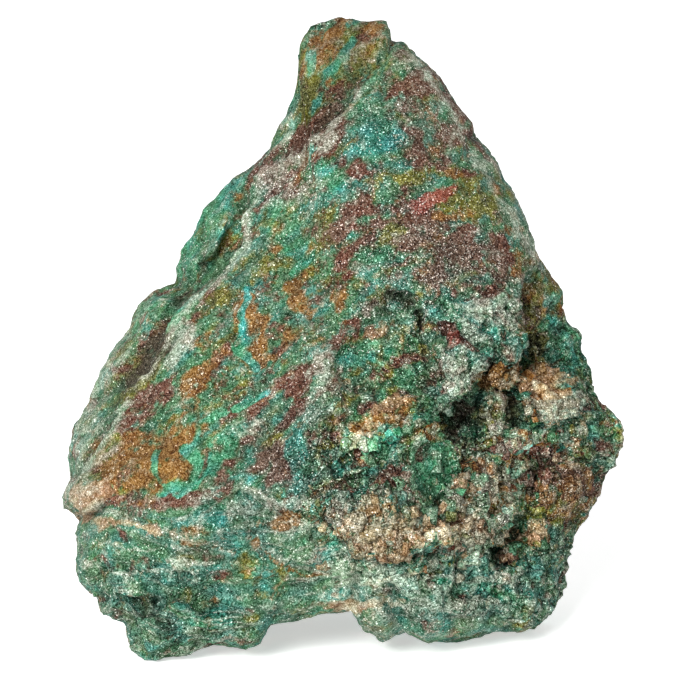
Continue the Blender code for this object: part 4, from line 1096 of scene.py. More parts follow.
# Zones where shade and light are painted into the colour: the last number is how many times the light
# doubles
PAINTED_LIGHT_AND_SHADE = [
    (0.8, 9, 3.4, 2.2, 0, 0.8), (10.6, 14.4, 2.4, 1.6, 0, 1.5), (13.2, 11.8, 2.4, 1.8, 0, 1),
    (18, 16.2, 2, 2.4, 0, 1), (8.8, 12.1, 2, 1.4, 0, 0.8), (6, 14.8, 7, 2.6, 0, 0.3),
    (15.8, 33.8, 1.6, 1.4, 0, -0.6), (12.9, 36.3, 1.3, 1.2, 0, -0.6),
    (15.6, 36.4, 1.6, 1.4, 0, 0.5), (17.6, 38.6, 1.5, 1.3, 0, -0.5), (13.2, 38.6, 2.4, 1.4, 0, 0.4),
    (12.4, 31.6, 2.4, 2.6, 0, 0.35), (-5.8, 21.8, 3.4, 3.6, 0, -0.95), (20.6, 23.3, 3, 1.8, 0, 1.5),
    (0, 16.6, 1.8, 1.4, 0, -0.4), (10.2, 43.8, 4.2, 3, 0, -0.75), (-8.8, 51.6, 2, 1.6, 0, -0.8),
    (6.6, 49.4, 1.8, 1.4, 0, -0.7), (-22, 7.7, 2.4, 1.8, 0, 0.5), (-3.6, 14.3, 3, 1.5, 0, 0.9),
    (6, 9.4, 2.6, 1.4, 0, 0.8), (6.6, 5.4, 2.2, 1.2, 0, -0.9), (18, 7.6, 2.4, 2.2, 0, 0.4),
    (11, 3.3, 2.2, 1.2, 0, 0.5), (11.4, 7.9, 1.8, 1.2, 0, 0.9), (13.4, 5.4, 1.6, 1.1, 0, -0.4),
    (-11, 7.8, 2.2, 1.6, 0, 0.7), (0, 67.2, 2.2, 2, 0, -0.5), (-2, 66.6, 3.6, 3, 0, -0.3),
    (3.4, 57.8, 3.6, 3.6, 0, -0.95), (-13.2, 47.3, 1.4, 1.8, 0, 1.1),
    (-13.2, 15.6, 2.8, 2.2, 0, -0.8), (8.6, 32.6, 1, 3, 0, -0.7), (0.8, 24.4, 3.2, 2.4, 20, 1.2),
    (2.6, 55.9, 1.5, 1.2, 0, 1), (4, 34.2, 2, 2.4, 0, 0.8), (24.2, 18.7, 2.2, 2.2, 0, -0.3),
    (21.4, 29.6, 3.2, 3.4, 0, 1), (28.6, 25.3, 1.8, 2, 0, 0.7), (2.8, 46, 2.4, 2.6, 0, -0.6),
    (16, 20, 3.6, 3.6, 0, 0.4), (-11, 25.3, 2, 1.6, 0, 0.4), (-26.6, 18.6, 1.8, 1.4, 0, 0.6),
    (20, 14.2, 1.6, 1.6, 0, 0.8), (13.6, 14, 1.2, 1.2, 0, -1), (-13.4, 40.6, 1.6, 1.6, 0, -0.6),
    (-20.4, 38.4, 3.6, 1.6, 30, 0.6), (2.4, 38.4, 2, 1.8, 0, -0.8), (-4.4, 49.6, 1.6, 1.4, 0, -0.5),
    (4.4, 62.8, 1.4, 1.6, 0, 0.5), (-6.4, 58.2, 1, 1.8, -24, 0.7), (-22.2, 14.4, 2, 1.2, 0, 0.3),
    (4.2, 25.4, 3.4, 2.8, 0, 0.4),
]
# Calm purplish grey zones
PURPLE_GREY = [
    (-7, 23, 6.5, 5.5, 0, 0.8), (10.5, 44.8, 5, 4, 0, 0.8), (9, 61, 4, 5, 0, 0.6),
    (3, 61.5, 2, 5, -30, 0.5),
]
print(len(COOL), "zones of another green,", len(PAINTED_LIGHT_AND_SHADE), "of another light")

# %% [markdown]
# Now the fields are worked out, one array of numbers for each. The places are shifted a little
# by noise first, so that no patch keeps its drawn outline.

# %% Work out the fields
WANDER_SIZE, WANDER_REACH = 2.2, 0.5
# How the ground drifts: the middle of its value, how far it swings, the size of a swing
LIGHT_DRIFT, COOL_DRIFT, GREY_DRIFT = (0.50, 0.80, 1.3), (0.40, 1.30, 1.8), (0.25, 0.90, 3.2)
SEAM_LIGHT = 0.6          # how much lighter a seam of copper is


def patch_field(mineral, across, up, front, common):
    """One mineral's share from 0 to 1: its patches, its seams and what is common everywhere,
    joined as 1 - (1 - a)(1 - b)."""
    clear = 1 - common
    for *place, strength in PATCHES[mineral]:
        along, beside = turned_offsets(across, up, *place)
        clear *= 1 - front * np.minimum(strength * 0.5 ** (along ** 2 + beside ** 2), 1)
    for name, half_width, strength, line in SEAMS:
        if name == mineral:
            gap, _, _ = to_line(across, up, line)
            clear *= 1 - front * np.minimum(strength * 0.5 ** (gap / half_width) ** 2, 1)
    for name, number, strength in BLOCK_COLOURS:
        if name == mineral:
            clear *= 1 - front * strength * inside_share(across, up, BLOCKS[number][0])
    return 1 - clear


def drift(places, salt, middle, swing, size):
    """A number that wanders about its middle: middle + swing * noise(place / size)."""
    return middle + swing * smooth_noise(places / size, salt)


def add_zones(field, zones, across, up, front):
    """Adds the soft hills and dips of a list of zones to a field, on the front only."""
    for *place, share in zones:
        field += share * front * swell(across, up, *place)


wander = WANDER_REACH * np.column_stack([smooth_noise(points / WANDER_SIZE, salt)
                                         for salt in (91, 92)])
near_across, near_up = across + wander[:, 0], up + wander[:, 1]
fields = {}
for salt, name in enumerate(PATCHES):
    in_front, behind, lacking, wide, fine = COMMON[name]
    common = np.where(front, in_front * (1 - lacking * band), behind)
    common = common * (1 + DRIFT * smooth_noise(points / DRIFT_SIZE, 101 + salt))
    field = patch_field(name, near_across, near_up, front, common)
    fine = fine * (1 + BROKEN_MOTTLE * front * np.clip(rough - ROUGH_BASE, 0, 1))
    field += wide * WIDE_REACH * smooth_noise(layers * VEIN_STRETCH / WIDE_VEIN, 111 + salt)
    fields[name] = field + fine * FINE_REACH * smooth_noise(points / FINE_VEIN, 121 + salt)
print({name: round(float((field > 0.5).mean()), 3) for name, field in fields.items()})

# The ground colour drifts too: from dark to light, from green to blue-green and to grey. Seams
# of copper are bright.
fields["light"] = drift(points, 131, *LIGHT_DRIFT)
for name, half_width, strength, line in SEAMS:
    if name == "copper":
        gap, _, _ = to_line(near_across, near_up, line)
        fields["light"] += SEAM_LIGHT * front * 0.5 ** (gap / half_width) ** 2
fields["cool"] = drift(layers * VEIN_STRETCH, 132, *COOL_DRIFT)
fields["grey"] = drift(points, 133, *GREY_DRIFT)
# The shade field is painted light and shade: the zones below double or halve the light.
fields["shade"] = np.zeros(len(points))
for name, zones in ("cool", COOL), ("grey", PURPLE_GREY), ("shade", PAINTED_LIGHT_AND_SHADE):
    add_zones(fields[name], zones, across, up, front)
print("the ground's light spans", np.ptp(fields["light"]).round(1))

# %% [markdown]
# ## From arrays to a mesh
# The whole stone is one mesh, because it is one stone. What the finish needs to know rides on
# its points as attributes: the mineral fields, how broken it is, how hollow it is, and where
# it lies among the layers.

# %% Meshes, pieces and stored numbers


def new_mesh(name, points, faces):
    """A mesh from millimetre points and faces that all have the same number of corners."""
    mesh = bpy.data.meshes.new(name)
    mesh.vertices.add(len(points))
    mesh.vertices.foreach_set("co", (points * MM).ravel())
    mesh.loops.add(faces.size)
    mesh.loops.foreach_set("vertex_index", faces.ravel())
    mesh.polygons.add(len(faces))
    mesh.polygons.foreach_set("loop_start", np.arange(0, faces.size, faces.shape[1]))
    mesh.update(calc_edges=True)
    mesh.validate()
    return mesh


def new_piece(name, mesh):
    """An object for a mesh, at the room's origin, in the scene."""
    piece = bpy.data.objects.new(name, mesh)
    bpy.context.scene.collection.objects.link(piece)
    return piece


def store(mesh, name, values, kind="FLOAT"):
    """Keeps one number or one place for each point of a mesh."""
    stored = mesh.attributes.new(name, kind, "POINT")
    stored.data.foreach_set("value" if kind == "FLOAT" else "vector", values.ravel())


def dress(mesh, fields, **numbers):
    """Stores all that the stone's finish reads: the minerals' fields and other numbers."""
    for name, values in {**fields, **numbers}.items():
        store(mesh, name, values, "FLOAT_VECTOR" if name == "layers" else "FLOAT")


print("fields to store:", list(fields))

# %% [markdown]
# Sugary quartz grows as a crust on some zones and is nearly missing on others. The stored share
# tells the grains where to sit and the finish where to sparkle.

# %% Where the stone is sugary
# How densely grains sit: zones that are more or less sugary than the rest
SUGAR_BASE, SUGAR_BACK = 0.3, 0.45
SUGARY = [
    (9, 44, 8, 6, 0, 0.7), (-5, 22, 5, 7, 20, 0.45), (6, 34, 8, 6, 0, 0.35),
    (14, 20, 10, 7, 0, 0.3), (5, 56, 6, 8, 0, 0.35), (-7, 52, 3.5, 3, 0, 0.6),
    (-1, 67.4, 5, 4, 10, -0.6), (-20, 21, 5, 4.4, 0, -0.25), (9.5, 21, 2.4, 3.4, 0, -0.3),
    (-10, 8, 14, 5, 0, -0.1),
]
SUGAR_RANGE = (-0.3, 1.0)
SUGAR_FROM = 0.3          # millimetres over the floor, below which the stone is bare
# A place with painted shade is left bare of sugar, by the share below.
DEEP_BARE = 0.7           # how much of its sugar a dark deep place loses


def sugar_share(across, up, front):
    """A base share and the bells of the zones, from below 0, bare, to 1, a crust."""
    share = np.full(across.shape, SUGAR_BASE)
    for *place, strength in SUGARY:
        share += strength * swell(across, up, *place)
    return np.where(front, np.clip(share, *SUGAR_RANGE), SUGAR_BACK)


sugar = sugar_share(across, up, front) * (points[:, 2] > SUGAR_FROM)
sugar *= 1 - DEEP_BARE * np.clip(fields["painted_shade"], 0, 1)
print("mean sugar:", round(float(sugar.mean()), 2))

# %% [markdown]
# Broken faces are left flat, so that their facets catch the light one by one. The worn ones are
# shaded smooth.

# %% Build the skin
FLAT_FROM = 0.6           # faces that are at least this broken stay flat

skin = new_mesh("stone_skin", points, quads)
skin.polygons.foreach_set("use_smooth", rough[quads].mean(axis=1) < FLAT_FROM)
dress(skin, fields, rough=rough, hollow=hollow, band=band, layers=layers, sugar=sugar,
      loose=np.zeros(len(points)))
stone = new_piece("stone_skin", skin)
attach(stone, "root")
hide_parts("stone")
print("the skin weighs", 2 * len(skin.polygons), "triangles")

# %% [markdown]
# ## Sugary quartz
# Tiny quartz grains stand out of the surface and catch the light as white points. They could
# be painted, but real facets glint and turn with the view. Each grain is a low crystal with
# eight faces, sunk halfway into the skin, and all of them are one joined mesh. Faces are drawn
# by lot, with chances that grow with their area and with how sugary the place is.

# %% Scatter the grains
GRAIN_COUNT = 24000
GRAIN_SIZES = (0.025, 0.09)                # half widths, in millimetres
GRAIN_RARITY = 2.5                         # the higher, the fewer large grains
GRAIN_LEAN = 0.5                           # how far grains lean away from the skin's normal
GRAIN_STRETCH = (0.6, 1.3)
GRAIN_TALL = 0.9                           # half height, as a share of the half width
LEAST_SUGAR, SUGAR_POWER = 0.06, 1.4
CLUMPS = [(1.1, 2.2), (0.5, 1.6)]          # how grains cluster: (size, strength)
OFF_FLOOR = 0.02                           # no corner comes nearer to the floor


def scatter(points, quads, weight, count, seed):
    """Draws places on the faces: for each the face's normal, the face's number, and its place,
    which is the blend of the face's four corners at two random shares, s and t."""
    rng = np.random.default_rng(seed)
    corner, spread = points[quads], diagonal_cross(points, quads)
    area = np.linalg.norm(spread, axis=1)
    chance = area * weight[quads].mean(axis=1)
    face = rng.choice(len(quads), count, p=chance / chance.sum())
    s, t = rng.random((2, count, 1))
    low = corner[face, 0] * (1 - s) + corner[face, 1] * s
    high = corner[face, 3] * (1 - s) + corner[face, 2] * s
    return low * (1 - t) + high * t, spread[face] / area[face, None], face, rng


def crystals(places, normals, rng):
    """Points and triangles of low eight-sided crystals. Each has four corners round its waist
    and a point at either end, stretched and turned at random about its normal."""
    count = len(places)
    small, large = GRAIN_SIZES
    half = small + (large - small) * rng.random((count, 1)) ** GRAIN_RARITY
    lean = rng.normal(0, GRAIN_LEAN, (count, 3))
    axis = normals + lean
    axis /= np.linalg.norm(axis, axis=1, keepdims=True)
    side = np.cross(axis, rng.normal(size=(count, 3)))
    side /= np.linalg.norm(side, axis=1, keepdims=True)
    other = np.cross(axis, side)
    wide, long = rng.uniform(*GRAIN_STRETCH, (2, count, 1))
    corners = np.stack([
        places + half * wide * side, places + half * long * other,
        places - half * wide * side, places - half * long * other,
        places + half * GRAIN_TALL * axis, places - half * GRAIN_TALL * axis], axis=1)
    around = np.array([(0, 1), (1, 2), (2, 3), (3, 0)])
    shape = np.array([(a, b, 4) for a, b in around] + [(b, a, 5) for a, b in around])
    faces = shape[None] + 6 * np.arange(count)[:, None, None]
    return corners.reshape(-1, 3), faces.reshape(-1, 3)


clumps = np.exp(sum(strength * smooth_noise(points / size, 95 + salt)
                    for salt, (size, strength) in enumerate(CLUMPS)))
crowding = np.clip(sugar, LEAST_SUGAR, 1) ** SUGAR_POWER * clumps
places, normals, _, rng = scatter(points, quads, crowding, GRAIN_COUNT, seed=11)
grain_points, grain_faces = crystals(places, normals, rng)
grain_points[:, 2] = np.maximum(grain_points[:, 2], OFF_FLOOR)
grains_mesh = new_mesh("quartz_grains", grain_points, grain_faces)
store(grains_mesh, "milk", np.repeat(rng.random(GRAIN_COUNT), 6))
grains = new_piece("quartz_grains", grains_mesh)
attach(grains, "root")
print(GRAIN_COUNT, "grains,", len(grain_faces), "triangles")

# %% [markdown]
# ## Crumbs
# Where the stone is broken, loose crumbs cling to it. Chips in the skin could suggest them, but
# a skin can't part and overhang as crumbs do, so they are solids of their own. A crumb is a cube
# with each corner moved by lot, stretched, and sunk into the skin. They lie roughly square to
# each other, since they broke along the same directions. Each carries the fields of the skin
# under it, so that one finish colours both.

# %% Strew the crumbs
CRUMB_COUNT = 4400
CRUMB_SIZES = (0.10, 0.72)                  # half widths, in millimetres
CRUMB_SINK = 0.62                           # share of its half width that it is sunk
CRUMB_RARITY = 4.0                          # the higher, the fewer large crumbs
CRUMB_BEND = 0.42                           # how far its corners move, as a share of that
CRUMB_STRETCH = (0.5, 1.1)
# Counting as edges, crumbs also get the painted highlight and the dust of an edge.
CRUMB_HOLLOW = -0.3                         # crumbs stand out, so they count as edges
# Where they lie: (across, up, half width, half height, turn, share)
CRUMB_ZONES = [
    (6, 14.6, 9, 3.6, 0, 1), (16, 19, 4.6, 5, 0, 0.8), (21.5, 24.6, 4, 2.4, 0, 0.6),
    (21.4, 31.6, 2.6, 1, 0, 0.3), (3.6, 25, 5, 1.6, 30, 0.5), (18, 12.6, 3, 3, 0, 0.5),
]
BREAK_ACROSS, BREAK_UP = (0.9, -0.35, 0.25), (-0.2, 0.15, 1.0)
BREAK_SPREAD = 0.22                         # how far crumbs turn from these two directions
CRUMBS_BEHIND = 0.02                        # how thickly they lie on the back
HOLLOW_BARE = 0.6                           # how many of them a full hollow loses
RIM_BARE = (0.2, 0.6)                       # they thin out between these bulges
CRUMBS_FROM = 1.0                           # millimetres over the floor
CRUMB_CLUMP_SIZE, CRUMB_CLUMPING = 2.4, 1.5
LOOSE_SPREAD = 0.5                          # how much each one's own colour may differ


def cube_shape():
    """The eight corners of a cube, and two triangles for each of its six sides. A corner's
    number holds its place in binary: 4 for right, 2 for back, 1 for top."""
    corners = np.array(list(itertools.product((-1, 1), repeat=3)), float)
    sides = [(0, 1, 3, 2), (4, 6, 7, 5), (0, 4, 5, 1), (2, 3, 7, 6), (0, 2, 6, 4), (1, 5, 7, 3)]
    return corners, np.array([(a, b, c) for a, b, c, _ in sides]
                             + [(a, c, d) for a, _, c, d in sides])


def turned(count, rng):
    """Turns near one common set of breaking directions, as three unit directions each."""
    first = np.array(BREAK_ACROSS) + rng.normal(0, BREAK_SPREAD, (count, 3))
    first /= np.linalg.norm(first, axis=1, keepdims=True)
    second = np.cross(first, np.array(BREAK_UP) + rng.normal(0, BREAK_SPREAD, (count, 3)))
    second /= np.linalg.norm(second, axis=1, keepdims=True)
    return np.stack([first, second, np.cross(first, second)], axis=1)


def crumb_shapes(places, normals, rng):
    """Points and triangles of bent cubes: corner = place + turn * (stretch * moved corner),
    sunk along the skin's normal."""
    corners, triangles = cube_shape()
    count = len(places)
    small, large = CRUMB_SIZES
    half = small + (large - small) * rng.random((count, 1, 1)) ** CRUMB_RARITY
    shape = corners + rng.uniform(-CRUMB_BEND, CRUMB_BEND, (count, 8, 3))
    shape *= rng.uniform(*CRUMB_STRETCH, (count, 1, 3))
    shape = np.einsum("nij,njk->nik", shape, turned(count, rng)) * half
    shape += (places - normals * half[:, 0] * CRUMB_SINK)[:, None]
    faces = triangles[None] + 8 * np.arange(count)[:, None, None]
    return shape.reshape(-1, 3), faces.reshape(-1, 3)


crumbly = sum(share * swell(across, up, *place) for *place, share in CRUMB_ZONES)
crumbly = np.where(front, crumbly, CRUMBS_BEHIND) * (1 - HOLLOW_BARE * np.clip(hollow, 0, 1))
crumbly = crumbly * smooth_step(*RIM_BARE, bulge) * (points[:, 2] > CRUMBS_FROM)
crumbly *= np.exp(CRUMB_CLUMPING * smooth_noise(points / CRUMB_CLUMP_SIZE, 97))
places, normals, under, rng = scatter(points, quads, crumbly, CRUMB_COUNT, seed=12)
crumb_points, crumb_faces = crumb_shapes(places, normals, rng)
crumb_points[:, 2] = np.maximum(crumb_points[:, 2], OFF_FLOOR)
crumbs_mesh = new_mesh("crumbs", crumb_points, crumb_faces)
owner = np.repeat(quads[under, 0], 8)
dress(crumbs_mesh, {name: field[owner] for name, field in fields.items()},
      rough=rough[owner], hollow=np.full(len(owner), CRUMB_HOLLOW), band=band[owner],
      layers=layers[owner], sugar=sugar[owner],
      loose=np.repeat(rng.uniform(-LOOSE_SPREAD, LOOSE_SPREAD, CRUMB_COUNT), 8))
crumbs = new_piece("crumbs", crumbs_mesh)
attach(crumbs, "root")
print(CRUMB_COUNT, "crumbs,", len(crumb_faces), "triangles")

# %% [markdown]
# ## Writing a finish as sums
# Node trees are sums drawn as boxes. This small class lets them be written as sums: it wraps
# one socket, and each operator adds the Math node that does it, so 1 - mask * 0.5 means what
# it says. Everything that isn't a sum comes from one method, node().

# %% A wire that can be added and multiplied


class Wire:
    """One shader value. tree is the node tree that new nodes go into."""
    tree = None

    def __init__(self, socket):
        self.socket = socket

    @classmethod
    def node(cls, kind, settings=None, sockets=None, output=0):
        """Any node: its settings first, since they can change its sockets, then the values or
        wires of its sockets, by name or number. Gives the wire of one output."""
        made = cls.tree.nodes.new("ShaderNode" + kind)
        for name, value in (settings or {}).items():
            setattr(made, name, value)
        for name, value in (sockets or {}).items():
            if isinstance(value, Wire):
                cls.tree.links.new(value.socket, made.inputs[name])
            else:
                made.inputs[name].default_value = value
        return cls(made.outputs[output])

    def maths(self, operation, *others, clamp=False):
        """A Math node with this wire first. The operators below all say what they do."""
        sockets = {place: value for place, value in enumerate((self,) + others)}
        return Wire.node("Math", {"operation": operation, "use_clamp": clamp}, sockets)

    def __add__(self, other):
        return self.maths("ADD", other)

    def __sub__(self, other):
        return self.maths("SUBTRACT", other)

    def __rsub__(self, other):
        return Wire.node("Math", {"operation": "SUBTRACT"}, {0: other, 1: self})

    def __mul__(self, other):
        return self.maths("MULTIPLY", other)

    def __rpow__(self, other):
        return Wire.node("Math", {"operation": "POWER"}, {0: other, 1: self})

    __radd__ = __add__
    __rmul__ = __mul__

    def clamp(self):
        """Held between 0 and 1."""
        return self.maths("ADD", 0.0, clamp=True)


print("a wire knows", [name for name in vars(Wire) if name.startswith("__r")], "too")

# %% [markdown]
# A few helpers say the rest in a maker's words: a colour as it should look in this studio's
# light, one colour painted over another, a number stored on the mesh, and a cloud of noise.

# %% Colours, stored numbers and clouds
LIT = 1.42                # how many times brighter the studio shows a colour than it is
CLOUD_ROUGHNESS, CLOUD_DISTORTION = 0.6, 0.35
CLOUD_APART = 7.3         # how far apart two clouds' slices of the noise lie, for each salt


def on_screen(red, green, blue):
    """The surface colour that looks like this, from 0 to 255, in the studio's light."""
    values = np.array([red, green, blue]) / 255
    light = np.where(values <= 0.04045, values / 12.92, ((values + 0.055) / 1.055) ** 2.4)
    return (*(light / LIT).tolist(), 1.0)


def paint(under, over, mask):
    """One colour over another, by a mask from 0 to 1."""
    return Wire.node("Mix", {"data_type": "RGBA"}, {0: mask, 6: under, 7: over}, output=2)


def attribute(name, output=2):
    """A number (output 2) or a place (output 1) that was stored on the mesh."""
    return Wire.node("Attribute", {"attribute_name": name}, output=output)


def cloud(places, size, salt, detail=3.0):
    """Blender's noise, from 0 to 1 and mostly near a half, with bumps of a size in mm."""
    return Wire.node("TexNoise", {"noise_dimensions": "4D"},
                     {"Vector": places, "W": CLOUD_APART * salt, "Scale": 1 / size,
                      "Detail": detail, "Roughness": CLOUD_ROUGHNESS,
                      "Distortion": CLOUD_DISTORTION})


def new_finish(name):
    """An empty material with a Principled shader. Gives the material and the shader node."""
    finish = bpy.data.materials.new(name)
    finish.use_nodes = True
    Wire.tree = finish.node_tree
    return finish, finish.node_tree.nodes["Principled BSDF"]


def connect(shader, values):
    """Wires are linked to the shader's sockets; plain values are set on them."""
    for name, value in values.items():
        if isinstance(value, Wire):
            Wire.tree.links.new(value.socket, shader.inputs[name])
        else:
            shader.inputs[name].default_value = value


print("a middle grey is stored as", [round(part, 2) for part in on_screen(128, 128, 128)[:3]])

# %% [markdown]
# ## The stone's finish
# The ground is a green that drifts to blue-green, to grey and darker. Over it go the minerals.
# Each has a dark and a pale colour, written as they look in the studio's light.

# %% The colours of the ground and of the minerals
DARK_GREEN = on_screen(48, 84, 62)
GREEN = on_screen(74, 126, 84)
TEAL = on_screen(66, 136, 120)
GREY_GREEN = on_screen(104, 104, 78)
RUST = on_screen(152, 106, 46)
RUST_DARK = on_screen(118, 78, 34)
WINE = on_screen(100, 54, 40)
WINE_GREY = on_screen(108, 90, 74)
MOSS = on_screen(128, 122, 34)
MOSS_DARK = on_screen(80, 80, 32)
COPPER = on_screen(60, 172, 164)
COPPER_DEEP = on_screen(46, 132, 114)
EMERALD = on_screen(72, 158, 116)
EMERALD_DEEP = on_screen(54, 122, 84)
ROSE = on_screen(152, 74, 60)
BONE = on_screen(186, 164, 124)
BONE_PINK = on_screen(156, 120, 88)
DUST_AND_HIGHLIGHT = on_screen(162, 170, 150)
# The next colour is the dark of painted shade, laid into hollows and deep places.
PAINTED_SHADE = on_screen(50, 58, 38)
print("copper reflects", [round(part, 2) for part in COPPER[:3]])

# %% [markdown]
# Each mineral is cut out of its field at a half, after one small noise that all of them share
# has stirred the edges. In the band, thin wavy lines of dust run along the layers. Where the
# stone is broken, cells of two sizes stand for its chips and splinters.

# %% Small parts of the finish
STIR_SIZE, STIR_REACH = 0.55, 0.7       # of the noise that all the minerals share
MINERAL_SOFT = 0.30                     # how far a mineral takes to go from none to all
# How fully each mineral covers the ground, in the order in which they are painted
COVER = {"moss": 0.92, "wine": 0.94, "rust": 0.92, "rose": 0.88, "copper": 0.88, "bone": 0.85}
GREY_GROUND, GREY_WINE = 0.5, 0.6       # how far each turns grey in a grey zone
LIGHT_LEAST = 0.3                       # the share of its light green that every zone keeps
LOOSE_LIGHT, LOOSE_FIELD, LOOSE_SHADE = 0.8, 0.5, 0.5   # how much a crumb's own number adds
CELL, BROKEN_CELL, BROKEN_SPLINTER = 0.115, 1.5, 0.6    # sizes in millimetres
STROKE_SIZES = (0.30, 0.34)
STROKE_THIN, GAP_THIN, SHEET_THIN = 16.0, 9.0, 7.0      # the higher, the thinner the lines
SHEET_STRETCH, SHEET_SIZE, SHEET_FOLDS = (0.10, 1.0, 0.25), 2.4, 6.0
SHEET_LEAST = 0.25                      # how strongly they show where the band isn't grey
SWIRL_SIZE, SWIRL_REACH = 1.2, 0.9      # how the broken cells' walls bend


def cells(places, size):
    """Three random numbers, from 0 to 1, for each of many small cells."""
    picks = Wire.node("TexVoronoi", {"feature": "F1"}, {"Vector": places, "Scale": 1 / size},
                      output=1)
    return [Wire.node("SeparateColor", {}, {0: picks}, output=part) for part in range(3)]


def strokes(places, size, salt):
    """1 on the thin curling lines where a cloud passes a half, and 0 away from them."""
    return (1 - (cloud(places, size, salt, 2.0) - 0.5).maths("ABSOLUTE") * STROKE_THIN).clamp()


def minerals(stir, loose):
    """The ground colour with every mineral painted over it. A mineral's mask is its field less
    a half, over the softness, plus a half, held between 0 and 1. A third number mixes its two
    colours: the light, the grey, the cool, or bright, which is the upper half of the light."""
    light = (attribute("light") + loose * LOOSE_LIGHT).clamp()
    cool, grey = attribute("cool").clamp(), attribute("grey").clamp()
    bright = (light * 2.0 - 1.0).clamp()
    colour = paint(paint(GREEN, TEAL, cool), GREY_GREEN, grey * GREY_GROUND)
    colour = paint(DARK_GREEN, colour, (light + LIGHT_LEAST).clamp())
    copper = paint(EMERALD_DEEP, COPPER_DEEP, cool), paint(EMERALD, COPPER, cool)
    looks = {"moss": (MOSS_DARK, MOSS, light), "wine": (WINE, WINE_GREY, grey * GREY_WINE),
             "rust": (RUST_DARK, RUST, light), "rose": (ROSE, ROSE, light),
             "copper": (*copper, bright), "bone": (BONE_PINK, BONE, cool)}
    for name, share in COVER.items():
        field = attribute(name) + stir * STIR_REACH + loose * LOOSE_FIELD
        mask = ((field - 0.5) * (1 / MINERAL_SOFT) + 0.5).clamp()
        colour = paint(colour, paint(*looks[name]), mask * share)
    return colour


def sheets(stir):
    """Thin wavy lines of dust along the layers of the band."""
    foliated = Wire.node("VectorMath", {"operation": "MULTIPLY"},
                         {0: attribute("layers", output=1), 1: SHEET_STRETCH})
    fold = (cloud(foliated, SHEET_SIZE, 13, 2.0) * SHEET_FOLDS).maths("PINGPONG", 0.5)
    line = (1 - fold * SHEET_THIN + stir).clamp()
    return line * attribute("band") * (attribute("grey").clamp() + SHEET_LEAST)


def broken_cells(places, loosened):
    """The random tones of chips and splinters, and the gaps between the chips, where shade is
    painted.
    """
    swirl = Wire.node("TexNoise", {}, {"Vector": places, "Scale": 1 / SWIRL_SIZE, "Detail": 1.0},
                      output=1)
    bent = Wire.node("VectorMath", {"operation": "MULTIPLY_ADD"},
                     {0: swirl, 1: (SWIRL_REACH,) * 3, 2: places})
    gap = Wire.node("TexVoronoi", {"feature": "DISTANCE_TO_EDGE"},
                    {"Vector": bent, "Scale": 1 / BROKEN_CELL})
    gap = (1 - gap * GAP_THIN).clamp() * loosened
    return cells(bent, BROKEN_CELL)[0], cells(bent, BROKEN_SPLINTER)[0], gap


print("one cell of the grain is", CELL, "mm, one of the broken side", BROKEN_CELL, "mm")

# %% [markdown]
# Then come dust, which on what stands out is partly a painted highlight, and painted shade in
# what lies deep. Zones of painted light and shade, and painted shade in the hollows, double or
# halve the light, as 2 ** shade.
#
# Last comes the grain. It is added to the colour as a screen shows it, which is the light to the
# power 1 / 2.2, so that it is as strong on dark stone as on pale. It has four parts: the random
# tone of tiny cells, thin curling strokes both pale and dark, white specks where the stone is
# sugary, and painted shade in the gaps between larger cells where it is broken.

# %% Mix the stone's colour
DUST_SOFT, DUST_SHARE, DEEP_SHARE = 0.5, 0.6, 0.7
# On edges the dust is partly a painted highlight; in hollows there is less of it.
DUST_AND_EDGE_HIGHLIGHT, DUST_ROUGH, DUST_SHEET = 0.20, 0.05, 0.9   # a hollow loses dust, the others gain it
# Painted shade: how its patches and the hollows add up to the dark colour's mask.
DEEP_FIELD, DEEP_HOLLOW, DEEP_FROM = 1.6, 0.4, 0.3      # shares that add up, less the last
# Painted shade in hollows and a painted highlight on edges, counted in doublings of light.
SHADE_HOLLOW, SHADE_ALL = 0.43, -0.10   # doublings of light: off in a hollow, and on everywhere
SHADE_EDGE = -0.3                       # an edge counts as a hollow of at least this
LOOSE_FROM, LOOSE_STEEP = 0.45, 3.0     # from what roughness on the stone shows single chips
# How strong each part of the grain is, out of 1 on the screen, and what adds to it
TONE, TONE_SUGAR, TONE_BROKEN = 0.15, 0.14, 0.06
STROKE, STROKE_BROKEN, STROKE_DUST = 0.20, 0.05, 0.16
# The second number is the painted shade in the gaps between chips.
CHIP, GAP_SHADE = 0.10, 0.13
SPECK, SPECK_LEAST, SPECK_STEEP = 0.60, 0.4, 50.0
SPECK_CUT, SPECK_STIR, SPECK_SUGAR = 0.992, 0.12, 0.095     # the share of cells without a speck
EYE = 2.2                               # a screen's light is its value to this power
# How high each part stands, out of 1, in the relief that is too fine for the mesh
BUMP_CLOUD, BUMP_TONE, BUMP_SPECK, BUMP_STROKE = 0.8, 0.25, 0.4, 0.2
BUMP_SHEET, BUMP_CHIP, BUMP_SPLINTER, BUMP_GAP = 0.5, 0.8, 0.35, 0.8
BUMP_SIZE = 0.7
RELIEF, RELIEF_STRENGTH = 0.00025, 0.9  # the height of 1 in the relief, in metres
ROUGHNESS, SPECK_GLOSS, SPECULAR = 0.8, 0.3, 0.15


